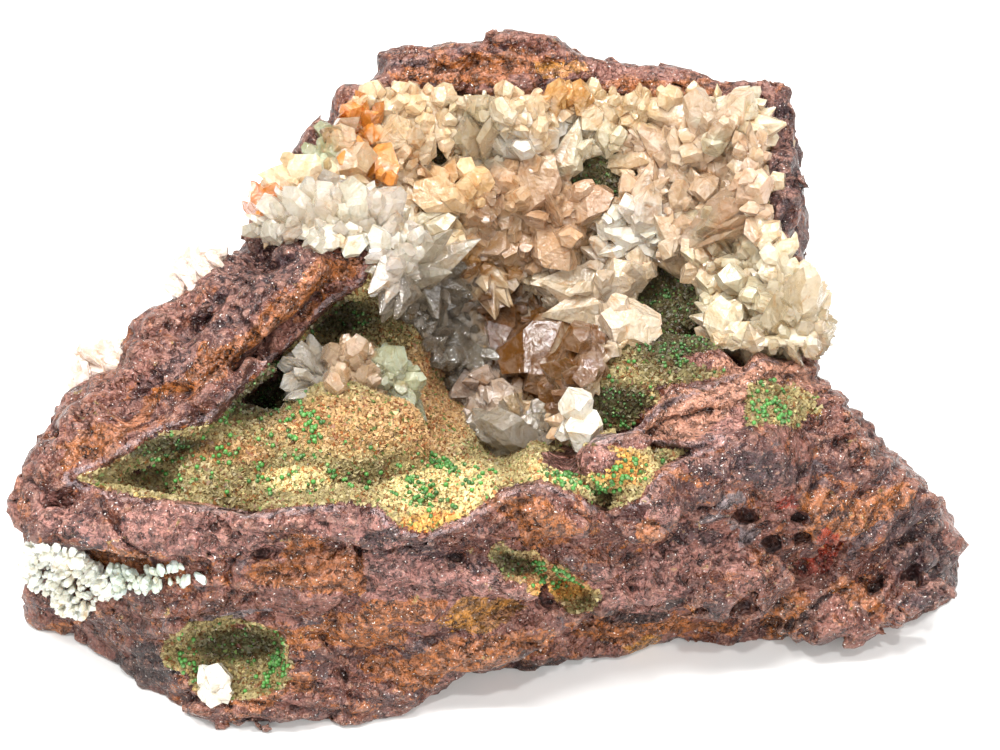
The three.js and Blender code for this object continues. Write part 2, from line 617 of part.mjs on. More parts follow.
// The lining of grown-together crystals.
function crustSolid() {
  const roll = dice(7);
  const backDepth = (across, down) => depthFrom(HOLLOW_DEPTHS, across, down) - 9;
  const lining = layer(LINING, CRUST_THICKNESS, backDepth, BARE_PLACES);
  const ground = (point) => Math.min(lining(point), rock(point));
  const places = scattered(LINING, SMALL_CRYSTALS, 36, roll, BARE_PLACES);
  return offRock(
    wasm.Manifold.union([
      surfaceSolid(lining, CRUST_STEP),
      ...LARGE_CRYSTALS.map((row) => placedCrystal(ground, row)),
      ...scatteredCrystals(ground, places, 11, 9, roll),
    ])
  );
}

// A lump of crystal matter that fills an ellipsoid.
const heartSolid = (heart) => pitSolid(placeAt(...heart.at), { turn: 0, ...heart });

function fanSolid() {
  const ground = (point) => Math.min(ellipsoidDistance(point, FAN_HEART), rock(point));
  const crystals = FAN_CRYSTALS.map((row) => placedCrystal(ground, row));
  return offRock(wasm.Manifold.union([heartSolid(FAN_HEART), ...crystals]));
}

// The stub: a squat crystal with a second, tilted one on its top.
function stubSolid() {
  const root = placeAt(...STUB_BASE);
  const axis = headingAxis(92, 0.1);
  const foot = crystal(root, axis, STUB_HEIGHT * 0.72, STUB_WIDTH, "block", 0.4);
  const top = root.clone().addScaledVector(axis, STUB_HEIGHT * 0.45);
  const head = crystal(top, headingAxis(112, 0.2), STUB_HEIGHT * 0.55, STUB_WIDTH * 0.8, "block", 1.1);
  return offRock(foot.add(head));
}

// The druse: small crystals on a lump in the pocket.
function druseSolid() {
  const roll = dice(23);
  const ground = (point) => Math.min(ellipsoidDistance(point, DRUSE_HEART), rock(point));
  const places = scattered(DRUSE, DRUSE_CRYSTALS, 14, roll);
  const crystals = scatteredCrystals(ground, places, DRUSE_LENGTH, DRUSE_WIDTH, roll);
  return offRock(wasm.Manifold.union([heartSolid(DRUSE_HEART), ...crystals]));
}

function armDruse(places) {
  const crystals = places.map(([across, down], number) => {
    const root = placeAt(across, down, ARM_DRUSE_DEPTH);
    return crystal(root, headingAxis(118 + 14 * number, -0.2), 9, 6.5, "block", number);
  });
  return offRock(wasm.Manifold.union(crystals));
}

const group = new THREE.Group();
group.add(
  meshOf("gossan_matrix", gossan, paint("#6e4038", 0.8)),
  meshOf("crystal_crust", crustSolid(), paint("#ead9c4", 0.25)),
  meshOf("fan_cluster", fanSolid(), paint("#e8e2d8", 0.25)),
  meshOf("stub_crystal", stubSolid(), paint("#efece2", 0.4)),
  meshOf("pocket_druse", druseSolid(), paint("#d8e6e4", 0.3)),
  meshOf("pocket_crystal", offRock(placedCrystal(rock, POCKET_CRYSTAL)), paint("#ecebe6", 0.35))
);
for (const [name, places] of Object.entries(ARM_DRUSES)) {
  group.add(meshOf(name, armDruse(places), paint("#eadfd6", 0.3)));
}

// The origin is the middle of the specimen's box, on its base.
const middle = new THREE.Box3().setFromObject(group, true).getCenter(new THREE.Vector3());
group.position.set(-middle.x, -middle.y, 0);
export default group;
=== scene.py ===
"""A hemimorphite specimen: rusty gossan, broken open on a hollow lined with crystals.

The open face is laid out on a sheet 1000 points wide and 750 high, as it is seen from
VIEW_DISTANCE away and VIEW_ELEVATION above the horizon. A place is [across, down] on that
sheet, and a depth is in millimetres towards the viewer from the plane through CENTRE. Shapes
are worked out in millimetres and made in metres.
"""
import math

import bmesh
import bpy
import numpy as np
from mathutils import Matrix, Vector
from mathutils.kdtree import KDTree


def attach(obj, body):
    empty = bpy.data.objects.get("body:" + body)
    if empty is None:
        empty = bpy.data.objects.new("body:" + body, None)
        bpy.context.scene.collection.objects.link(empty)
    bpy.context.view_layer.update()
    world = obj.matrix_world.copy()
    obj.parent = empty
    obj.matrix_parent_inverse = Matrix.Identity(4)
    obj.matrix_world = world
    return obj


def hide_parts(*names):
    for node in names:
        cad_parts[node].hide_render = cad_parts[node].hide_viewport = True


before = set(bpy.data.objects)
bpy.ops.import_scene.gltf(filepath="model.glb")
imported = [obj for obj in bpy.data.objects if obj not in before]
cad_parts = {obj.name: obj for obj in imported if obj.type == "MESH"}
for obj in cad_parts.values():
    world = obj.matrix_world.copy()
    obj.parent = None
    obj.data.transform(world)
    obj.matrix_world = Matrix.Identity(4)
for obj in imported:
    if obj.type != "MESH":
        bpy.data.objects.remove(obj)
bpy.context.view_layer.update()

MM = 0.001
SPECIMEN_WIDTH = 180.0
WIDTH_IN_POINTS = 918.0
POINTS_PER_MM = WIDTH_IN_POINTS / SPECIMEN_WIDTH
VIEW_ELEVATION = math.radians(35)
VIEW_DISTANCE = 450.0
SHEET = (1000, 750)
CENTRE = np.array([0.0, 0.0, 44.0])
RIGHT = np.array([1.0, 0.0, 0.0])
UP = np.array([0.0, math.sin(VIEW_ELEVATION), math.cos(VIEW_ELEVATION)])
AWAY = np.array([0.0, math.cos(VIEW_ELEVATION), -math.sin(VIEW_ELEVATION)])
EYE = CENTRE - VIEW_DISTANCE * AWAY
# From the sheet's middle to the frame's origin, the middle of the specimen's box.
TO_FRAME = np.array([-0.833, -1.575, 0.0])
# For the surfaces of the rock, the crystals' lining and the ground under small crystals: the
# box they lie in, the size of a grid cell and how far from the surface its field is exact.
ROCK_BOX = (-98, -62, -3), (98, 64, 104)
ROCK_CELL, ROCK_MARGIN = 0.74, 3.2
LINING_BOX = (-60, -34, 20), (74, 56, 104)
LINING_CELL, LINING_MARGIN = 1.1, 3.0
SMALL_CELL, SMALL_MARGIN = 0.9, 2.5
LINING_THICKNESS = 3.2
ROCK_TRIANGLES = 190000
SEED = 11

# The edge of the rock against the sky, from its left end over the top and back underneath.
SILHOUETTE = [
    (30, 480), (48, 450), (61, 436), (66, 416), (88, 390), (120, 373), (140, 325), (172, 306),
    (204, 284), (234, 252), (252, 236), (262, 205), (290, 178), (315, 130), (330, 105),
    (345, 88), (365, 92), (388, 75), (390, 63), (430, 55), (470, 44), (505, 38), (560, 48),
    (600, 62), (640, 68), (700, 78), (735, 87), (760, 84), (780, 94), (790, 110), (797, 200),
    (797, 255), (806, 300), (806, 350), (812, 385), (830, 398), (845, 415), (870, 445),
    (885, 460), (905, 478), (925, 498), (940, 515), (957, 545), (950, 575), (942, 600),
    (935, 612), (908, 630), (860, 642), (830, 650), (760, 652), (690, 647), (640, 643),
    (600, 650), (575, 653), (563, 660), (555, 672), (520, 681), (498, 673), (470, 675),
    (440, 694), (405, 716), (300, 721), (200, 717), (165, 692), (118, 675), (90, 650),
    (60, 642), (38, 632), (28, 600), (26, 540),
]
# The mouth of the hollow: the arm's lower edge, the crystal bank, the right ridge, the rim.
MOUTH = [
    (70, 478), (110, 462), (160, 432), (215, 420), (245, 385), (285, 350), (330, 305),
    (366, 282), (372, 240), (300, 236), (262, 232), (268, 205), (300, 180), (345, 135),
    (362, 100), (400, 88), (450, 92), (520, 98), (560, 92), (640, 98), (700, 108), (735, 108),
    (762, 100), (768, 150), (772, 220), (790, 270), (806, 330), (800, 356), (760, 356),
    (735, 372), (700, 385), (660, 402), (630, 430), (600, 440), (620, 446), (700, 448),
    (720, 440), (690, 452), (660, 470), (640, 500), (610, 512), (575, 495), (540, 480),
    (505, 490), (460, 520), (425, 535), (398, 528), (380, 508), (340, 503), (300, 508),
    (250, 513), (200, 504), (150, 500), (100, 490),
]
# Depths of the broken outer face and inside the hollow: (across, down, depth).
FACE_DEPTHS = [
    (60, 470, 36), (150, 400, 28), (130, 465, 36), (250, 320, 20), (330, 270, 17),
    (372, 245, 14), (300, 508, 46), (200, 503, 44), (420, 530, 48), (500, 495, 46),
    (560, 482, 44), (620, 515, 40), (700, 455, 36), (750, 445, 33), (850, 455, 19),
    (900, 485, 14), (640, 430, 26), (700, 415, 25), (750, 375, 20), (790, 355, 15),
    (940, 545, 5), (830, 420, 17), (500, 60, -9), (400, 75, -8), (600, 78, -10),
    (700, 90, -9), (775, 105, -5), (785, 200, 5), (797, 300, 12), (345, 110, -3),
    (300, 180, 4), (260, 230, 10), (740, 400, 24),
]
HOLLOW_DEPTHS = [
    (110, 480, 32), (150, 460, 25), (200, 480, 33), (300, 492, 36), (250, 455, 25),
    (180, 440, 22), (350, 480, 32), (400, 505, 37), (430, 480, 31), (480, 490, 34),
    (540, 470, 33), (640, 490, 28), (600, 465, 32), (690, 445, 30),
    (250, 400, -6), (300, 350, -8), (330, 320, -8), (225, 425, 14), (290, 410, 0),
    (360, 380, 2), (400, 350, -2), (380, 420, 14), (440, 430, 4), (450, 455, 16),
    (470, 390, -26), (500, 440, -16), (560, 435, -10), (520, 300, -28), (600, 330, -24),
    (460, 320, -22), (540, 380, -26), (500, 250, -20), (560, 260, -22),
    (400, 280, -10), (450, 220, -12), (550, 200, -14), (650, 200, -14), (750, 200, -6),
    (780, 300, 0), (700, 330, -8), (640, 280, -16), (620, 400, -8), (680, 400, 6),
    (730, 355, 0), (420, 120, -11), (600, 120, -14), (740, 120, -8), (330, 200, -2),
    (285, 225, 2), (350, 150, -6), (500, 130, -13),
]
# The front wall seen from above, (x, y) along its rim and its foot, and (x, z) of its ledge.
RIM_HEIGHT = 50.0
RIM_LINE = [
    (-100, -34), (-86, -40), (-70, -46), (-40, -50), (-15, -51), (0, -50), (15, -46),
    (30, -43), (40, -38), (60, -30), (80, -24), (95, -20),
]
FOOT_LINE = [
    (-100, -22), (-86, -26), (-75, -34), (-62, -48), (-40, -52), (-15, -50), (0, -42),
    (15, -36), (30, -33), (45, -31), (60, -30), (80, -24), (95, -16),
]
LEDGE_LINE = [(-30, 0), (-19, 0), (5, 12), (37, 12.5), (47, 9), (62, 3), (70, 0)]
LEDGE_STEP = 2.5
BACK_PLANES = [((0, 1, 0), 54), ((-0.78, 0.6, 0.15), 62), ((0.8, 0.58, 0.15), 84)]

# Lumps and ridges fused to the rock: place, radii, turn on the sheet and softness.
LUMPS = [
    ((350, 446, 26), (15, 11, 8), 0, 3), ((228, 448, 22), (9, 8, 4), 0, 3),
    ((668, 396, 11), (16, 12, 10), 0, 3), ((335, 262, 17), (9, 5, 5), 0, 2),
    ((616, 466, 33), (6, 4, 3.5), 0, 2),
    ((345, 520, 42), (18, 3.6, 4.5), 0, 2), ((225, 620, 21), (15, 2.6, 4.5), 5, 2),
    ((520, 508, 40), (13, 6.5, 4.5), -12, 2), ((558, 545, 30.5), (12, 2.8, 4), -28, 2),
    ((652, 502, 34), (8, 4.6, 4.5), 42, 2), ((604, 598, 17), (22, 3, 4.5), 7, 2),
    ((490, 632, 21), (17, 3.5, 4.5), 14, 2), ((440, 572, 35), (24, 4, 4), -6, 2),
    ((120, 532, 35), (16, 3.5, 4), -8, 2), ((710, 575, 16), (17, 8, 5), 0, 2),
    ((865, 610, 3), (17, 4, 5), 12, 2), ((300, 690, 18), (22, 4, 4), 8, 2),
    ((200, 372, 23), (34, 3.5, 4.5), 42, 2), ((150, 440, 29), (28, 3, 4), 30, 2),
]
# Pockets and pits eaten into the front wall: place, radii and turn. A small pit has its middle
# where the line of sight through its place meets the wall.
POCKETS = [((222, 662, 25), (13, 8, 8.5), 4), ((66, 580, 28), (9, 7.5, 7), 0)]
SMALL_PITS = [
    ((532, 571), (8.4, 3.0, 7), -28), ((744, 514), (3.9, 1.7, 5), -24),
    ((769, 543), (3.0, 1.9, 5), -10), ((799, 519), (2.1, 1.0, 4), 0),
    ((801, 538), (1.5, 1.1, 4), 20), ((804, 572), (3.6, 3.0, 4.5), 20),
    ((833, 548), (3.0, 2.6, 3.5), -20), ((826, 566), (3.6, 3.6, 2.4), 0),
    ((743, 610), (2.9, 1.9, 5), 15), ((914, 580), (1.7, 3.2, 4), 0),
    ((265, 552), (2.4, 1.6, 2.6), 20), ((103, 587), (3.6, 1.7, 4.5), 10),
    ((690, 612), (4.5, 0.8, 4), 4), ((868, 492), (1.8, 0.8, 3), 20),
    ((556, 585), (7.0, 3.0, 13), -30), ((574, 594), (5.0, 2.8, 6), -32),
]
# The pale druse at the left end, with its seam running right.
DRUSE = [
    (28, 548), (58, 545), (84, 556), (98, 572), (150, 572), (205, 560), (222, 574), (150, 586),
    (112, 590), (90, 608), (60, 618), (28, 612),
]
# Where the crystals line the hollow, the bare places in the lining, and the places where no
# crystal is rooted: middle, half width and half height in points.
LINING = [
    (250, 240), (248, 215), (262, 190), (300, 168), (345, 95), (400, 80), (470, 92),
    (560, 88), (660, 92), (762, 90), (770, 230), (800, 270), (820, 290), (828, 330),
    (815, 352), (745, 352), (715, 340), (700, 300), (655, 270), (642, 300), (640, 340),
    (604, 372), (580, 430), (545, 450), (480, 450), (440, 375), (385, 292), (368, 250),
]
BARE_PLACES = [(600, 176, 36, 22), (683, 318, 34, 44), (443, 154, 17, 12)]
CLEARINGS = [
    (616, 174, 48, 28), (678, 304, 38, 54), (440, 158, 14, 14), (662, 122, 18, 11),
    (812, 165, 38, 95),
]


def place_at(across, down, depth):
    """The points of the model that show at places on the sheet, at a depth."""
    shrink = (VIEW_DISTANCE - depth) / VIEW_DISTANCE / POINTS_PER_MM
    side = ((across - SHEET[0] / 2) * shrink)[..., None] * RIGHT
    rise = ((SHEET[1] / 2 - down) * shrink)[..., None] * UP
    return CENTRE + side + rise - np.asarray(depth, float)[..., None] * AWAY


def one_place(across, down, depth):
    return place_at(np.float64(across), np.float64(down), np.float64(depth))


def seen(points):
    """Where points of the model show on the sheet, their depth and the sheet's scale there."""
    from_eye = points - EYE
    away = from_eye @ AWAY
    scale = POINTS_PER_MM * VIEW_DISTANCE / away
    across = SHEET[0] / 2 + scale * (from_eye @ RIGHT)
    down = SHEET[1] / 2 - scale * (from_eye @ UP)
    return across, down, VIEW_DISTANCE - away, scale


# Maps on the sheet: a value at each crossing of a fine square grid, read between them.
MAP_START = -170.0
MAP_STEP = 2.0
MAP_LINE = MAP_START + MAP_STEP * np.arange(680)


def outline_map(outline):
    """How far each place lies outside an outline, in points: negative inside it."""
    across, down = np.meshgrid(MAP_LINE, MAP_LINE)
    nearest = np.full(across.shape, np.inf)
    inside = np.zeros(across.shape, bool)
    for (ax, ay), (bx, by) in zip(outline, outline[-1:] + outline[:-1]):
        ex, ey = bx - ax, by - ay
        along = ((across - ax) * ex + (down - ay) * ey) / (ex * ex + ey * ey)
        along = np.clip(along, 0, 1)
        nearest = np.minimum(nearest, np.hypot(across - ax - ex * along, down - ay - ey * along))
        if ay != by:
            inside ^= ((ay > down) != (by > down)) & (across < ax + ex * (down - ay) / ey)
    return np.where(inside, -nearest, nearest)


SHEET_SOFTNESS = 700.0
SHEET_POWER = 2.25


def depth_map(places):
    """A smooth sheet through (across, down, depth) places."""
    across, down = np.meshgrid(MAP_LINE, MAP_LINE)
    total = np.zeros(across.shape)
    weights = np.zeros(across.shape)
    for a, b, depth in places:
        weight = ((across - a) ** 2 + (down - b) ** 2 + SHEET_SOFTNESS) ** -SHEET_POWER
        total += weight * depth
        weights += weight
    return total / weights


def read_map(values, across, down):
    column = np.clip((across - MAP_START) / MAP_STEP, 0, len(MAP_LINE) - 1.001)
    row = np.clip((down - MAP_START) / MAP_STEP, 0, len(MAP_LINE) - 1.001)
    i, j = row.astype(int), column.astype(int)
    u, v = row - i, column - j
    upper = values[i, j] * (1 - v) + values[i, j + 1] * v
    lower = values[i + 1, j] * (1 - v) + values[i + 1, j + 1] * v
    return upper * (1 - u) + lower * u


MAPS = {
    "silhouette": outline_map(SILHOUETTE),
    "mouth": outline_map(MOUTH),
    "lining": outline_map(LINING),
    "druse": outline_map(DRUSE),
    "face": depth_map(FACE_DEPTHS),
    "hollow": depth_map(HOLLOW_DEPTHS),
}


def smooth_max(a, b, blend):
    h = np.clip(0.5 + 0.5 * (a - b) / blend, 0, 1)
    return b + (a - b) * h + blend * h * (1 - h)


def smooth_min(a, b, blend):
    return -smooth_max(-a, -b, blend)


def smooth_step(value, low, high):
    t = np.clip((value - low) / (high - low), 0, 1)
    return t * t * (3 - 2 * t)


NOISE_SIDE = 32
NOISE_VALUES = np.random.default_rng(SEED).uniform(-1, 1, NOISE_SIDE**3).astype(np.float32)
NOISE_TURN = np.array([[0.36, 0.48, -0.8], [-0.8, 0.6, 0.0], [0.48, 0.64, 0.6]])


def noise(points, size, seed=0):
    """Smooth random waves of a size in millimetres, from -1 to 1. A seed shifts them."""
    grid = points @ NOISE_TURN / size + 7.31 * seed + 100
    base = np.floor(grid)
    u, v, w = np.moveaxis(grid - base, -1, 0)
    u, v, w = (t * t * (3 - 2 * t) for t in (u, v, w))
    i, j, k = np.moveaxis(base.astype(np.int64), -1, 0)

    def value(a, b, c):
        row = ((i + a) % NOISE_SIDE * NOISE_SIDE + (j + b) % NOISE_SIDE) * NOISE_SIDE
        return NOISE_VALUES[row + (k + c) % NOISE_SIDE]

    near = (value(0, 0, 0) * (1 - u) + value(1, 0, 0) * u) * (1 - v)
    near = near + (value(0, 1, 0) * (1 - u) + value(1, 1, 0) * u) * v
    far = (value(0, 0, 1) * (1 - u) + value(1, 0, 1) * u) * (1 - v)
    far = far + (value(0, 1, 1) * (1 - u) + value(1, 1, 1) * u) * v
    return near * (1 - w) + far * w


def rough_noise(points, size, octaves, seed=0):
    """Noise with finer and weaker waves on it."""
    total = 0.0
    for octave in range(octaves):
        total = total + noise(points, size / 2**octave, seed + octave) / 2**octave
    return total


def ellipsoid(points, middle, radii, turn):
    """Distance to an ellipsoid whose axes lie along the sheet and towards the viewer."""
    offset = points - middle
    angle = math.radians(turn)
    x, y = offset @ RIGHT, offset @ UP
    local = np.stack(
        [
            x * math.cos(angle) + y * math.sin(angle),
            y * math.cos(angle) - x * math.sin(angle),
            offset @ AWAY,
        ],
        -1,
    )
    radii = np.array(radii, float)
    near = np.linalg.norm(local / radii, axis=-1)
    steep = np.linalg.norm(local / radii**2, axis=-1)
    return near * (near - 1) / np.maximum(steep, 1e-9)


def along_line(line, x):
    return np.interp(x, [row[0] for row in line], [row[1] for row in line])


def waves(points):
    """Long waves that break up the rock's faces."""
    x, y, z = points[..., 0], points[..., 1], points[..., 2]
    drift = 1.7 * np.sin(0.07 * z + 0.05 * y)
    swell = np.sin(0.14 * x + drift) * np.sin(0.17 * z - 0.12 * y + np.sin(0.09 * x))
    beds = np.sin(0.38 * z - 0.09 * x + 2.1 * np.sin(0.05 * x - 0.06 * y + 1))
    return 1.5 * swell + 0.7 * beds


def wall_front(x, z):
    """The front wall's place at a height, from foot to rim, stepping back below the ledge."""
    rise = np.clip(z / RIM_HEIGHT, 0, 1.2)
    leaning = along_line(FOOT_LINE, x) * (1 - rise) + along_line(RIM_LINE, x) * rise
    return leaning + LEDGE_STEP * smooth_step(along_line(LEDGE_LINE, x) - z, -1.5, 1.5)


def plain_rock(points):
    """The rock with its main forms, as a distance: negative inside it."""
    across, down, depth, scale = seen(points)
    far = read_map(MAPS["silhouette"], across, down) / scale
    for normal, distance in BACK_PLANES:
        unit = np.array(normal) / np.linalg.norm(normal)
        far = smooth_max(far, points @ unit - distance, 4)
    far = smooth_max(far, wall_front(points[..., 0], points[..., 2]) - points[..., 1], 2.5)
    far = smooth_max(far, (depth - read_map(MAPS["face"], across, down)) * 0.8, 3)
    mouth = -read_map(MAPS["mouth"], across, down) / scale
    floor = (depth - read_map(MAPS["hollow"], across, down)) * 0.7
    far = smooth_max(far, smooth_min(mouth, floor, 1.5), 1)
    for at, radii, turn, blend in LUMPS:
        far = smooth_min(far, ellipsoid(points, one_place(*at), radii, turn), blend)
    for at, radii, turn in POCKETS:
        far = smooth_max(far, -ellipsoid(points, one_place(*at), radii, turn), 1)
    return far + waves(points)


NEAREST, FARTHEST = 70.0, -90.0  # depths between which a line of sight is followed
SIGHT_STEPS = 140
CLOSE_ENOUGH = 0.04


def first_meeting(field, across, down):
    """Where the lines of sight through places on the sheet first meet a surface."""
    across, down = np.asarray(across, float), np.asarray(down, float)
    depth = np.full(across.shape, NEAREST)
    for _ in range(SIGHT_STEPS):
        gap = field(place_at(across, down, depth))
        depth = np.where(gap < CLOSE_ENOUGH, depth, depth - np.clip(gap * 0.7, 0.08, 6))
        depth = np.maximum(depth, FARTHEST)
    return place_at(across, down, depth)


def bed(points):
    """How far out from the hollow's mouth a point lies, in millimetres: the rock's layers
    follow the mouth."""
    across, down, _, scale = seen(points)
    return read_map(MAPS["mouth"], across, down) / scale


SURVEY_STEP = 4  # cells of the maps between the lines of sight


def front_map():
    """The depth at which the lines of sight first meet the rock."""
    line = MAP_LINE[::SURVEY_STEP]
    across, down = np.meshgrid(line, line)
    depth = np.full(across.shape, FARTHEST)
    on = MAPS["silhouette"][::SURVEY_STEP, ::SURVEY_STEP] < 12
    met = first_meeting(plain_rock, across[on], down[on])
    depth[on] = seen(met)[2]
    return np.repeat(np.repeat(depth, SURVEY_STEP, 0), SURVEY_STEP, 1)


MAPS["front"] = front_map()


def facing(points):
    """One where the rock can be seen from the front, nought well behind that."""
    across, down, depth, _ = seen(points)
    return smooth_step(depth - read_map(MAPS["front"], across, down), -9, -4)


def creases(points, size, octaves, seed):
    """Sharp-crested waves, from nought in the grooves to one."""
    return 1 - np.abs(rough_noise(points, size, octaves, seed))


TERRACE_SPACING = 4.2
TERRACE, CRAG, FLAKE, CRACK = 1.2, 1.3, 1.6, 1.4  # heights in millimetres


def relief(points):
    """The rock's layers, flakes and cracks outside the mouth, and its crumbs inside."""
    layers = bed(points)
    outside = smooth_step(layers, -0.2, 1.2)
    warped = layers + 4.5 * noise(points, 21, 3) + 2.0 * noise(points, 7, 4)
    step = warped / TERRACE_SPACING - np.floor(warped / TERRACE_SPACING)
    terrace = smooth_step(step, 0, 0.7) - smooth_step(step, 0.86, 1.0)
    strength = smooth_step(noise(points, 26, 9), -0.4, 0.5)
    crags = creases(points, 10, 2, 20) - 0.6
    flakes = creases(points, 4.6, 4, 30) - 0.6
    crack = smooth_step(np.abs(noise(points, 15, 12) + 0.25 * noise(points, 4, 14)), 0.10, 0.02)
    rough = TERRACE * terrace * strength + CRAG * crags + FLAKE * flakes - CRACK * crack
    crumbs = 0.9 * rough_noise(points, 7, 3, 40) + 0.35 * noise(points, 1.9, 50)
    return outside * rough + (1 - outside) * crumbs


HOLES = [(one_place(*at), radii, turn) for at, radii, turn in POCKETS]
PIT_MIDDLES = first_meeting(plain_rock, *zip(*[place for place, _, _ in SMALL_PITS]))
HOLES += [(middle, radii, turn) for (_, radii, turn), middle in zip(SMALL_PITS, PIT_MIDDLES)]


def raggedness(points):
    """How the walls of pockets and pits wander in and out, in millimetres."""
    return 0.9 * noise(points, 4, 57) + 0.8 * noise(points, 2.2, 55)


def rock(points):
    """The rock with its relief, pockets and pits, cut flat at its base."""
    far = plain_rock(points) - relief(points)
    ragged = raggedness(points)
    for middle, radii, turn in HOLES:
        far = smooth_max(far, ragged - ellipsoid(points, middle, radii, turn), 0.25)
    return np.maximum(far, -points[..., 2])


def lining_field(points):
    """The massive crystal matter under the crystals."""
    across, down, depth, scale = seen(points)
    knobs = 1.1 * rough_noise(points, 8, 2, 60) + 0.7 * np.abs(noise(points, 3.6, 64))
    far = plain_rock(points) - LINING_THICKNESS - knobs
    far = np.maximum(far, (read_map(MAPS["lining"], across, down) + 5) / scale)
    for middle, height, half_width, half_height in BARE_PLACES:
        near = np.hypot((across - middle) / half_width, (down - height) / half_height)
        near = near + 0.3 * rough_noise(points, 7, 2, 67)
        far = np.maximum(far, (1 - near) * half_height / scale)
    return np.maximum(far, read_map(MAPS["hollow"], across, down) - 5 - depth)


CORNERS = np.array([(i, j, k) for i in (0, 1) for j in (0, 1) for k in (0, 1)])
EDGES = [(a, b) for a in CORNERS for b in CORNERS if np.abs(b - a).sum() == (b - a).sum() == 1]
RING = [(-1, -1), (0, -1), (0, 0), (-1, 0)]
BLOCK = 5
BATCH = 200000


def spread(values):
    """Each block's value in all of its cells."""
    for axis in range(3):
        values = np.repeat(values, BLOCK, axis)
    return values


def cell_values(field, low, high, cell, margin):
    """A field at the middles of a box's cells, exact only near the surface, which is found
    first in blocks of cells. The cells along the box's sides are outside."""
    blocks = np.ceil((np.array(high) - low) / (cell * BLOCK)).astype(int)
    coarse = np.stack(np.meshgrid(*[np.arange(n) for n in blocks], indexing="ij"), -1)
    middles = low + (coarse + 0.5) * cell * BLOCK
    rough = field(middles.reshape(-1, 3)).reshape(tuple(blocks))
    values = spread(rough).astype(np.float32)
    places = np.argwhere(spread(np.abs(rough) < margin + cell * BLOCK * 0.9))
    for start in range(0, len(places), BATCH):
        part = places[start : start + BATCH]
        values[tuple(part.T)] = field(low + (part + 0.5) * cell)
    for axis in range(3):
        layers = np.moveaxis(values, axis, 0)
        layers[[0, -1]] = cell
    return values


def crossings(values, cells):
    """The mean of the places where a cell's edges cross the surface."""
    sums = np.zeros((len(cells), 3))
    hits = np.zeros(len(cells))
    for a, b in EDGES:
        first, second = values[tuple((cells + a).T)], values[tuple((cells + b).T)]
        cross = (first < 0) != (second < 0)
        share = np.where(cross, first / np.where(cross, first - second, 1), 0)[:, None]
        sums += np.where(cross[:, None], a * (1 - share) + b * share, 0)
        hits += cross
    return sums / hits[:, None]


def faces_across(axis, rising, inside, number):
    """The faces where the inside ends, or begins, along an axis."""
    here = [slice(1, count - 1) for count in inside.shape]
    ahead = list(here)
    ahead[axis] = slice(2, inside.shape[axis])
    a, b = inside[tuple(here)], inside[tuple(ahead)]
    edges = np.argwhere((a & ~b) if rising else (~a & b)) + 1
    ring = []
    for shift in RING:
        step = np.zeros(3, int)
        step[[(axis + 1) % 3, (axis + 2) % 3]] = shift
        ring.append(number[tuple((edges + step).T)])
    return np.stack(ring if rising else ring[::-1], -1)


def surface(field, low, high, cell, margin):
    """Vertices and four-sided faces of a surface, one vertex to each grid cell it crosses."""
    low = np.array(low, float)
    values = cell_values(field, low, high, cell, margin)
    inside = values < 0
    counts = np.array(values.shape) - 1
    total = np.zeros(counts, np.int8)
    for i, j, k in CORNERS:
        total += inside[i : i + counts[0], j : j + counts[1], k : k + counts[2]]
    cells = np.argwhere((total > 0) & (total < len(CORNERS)))
    number = np.full(counts, -1, np.int32)
    number[tuple(cells.T)] = np.arange(len(cells))
    vertices = low + (cells + crossings(values, cells) + 0.5) * cell
    sides = [(axis, rising) for axis in range(3) for rising in (True, False)]
    return vertices, np.concatenate([faces_across(*side, inside, number) for side in sides])


def to_frame(points):
    return (np.asarray(points) + TO_FRAME) * MM


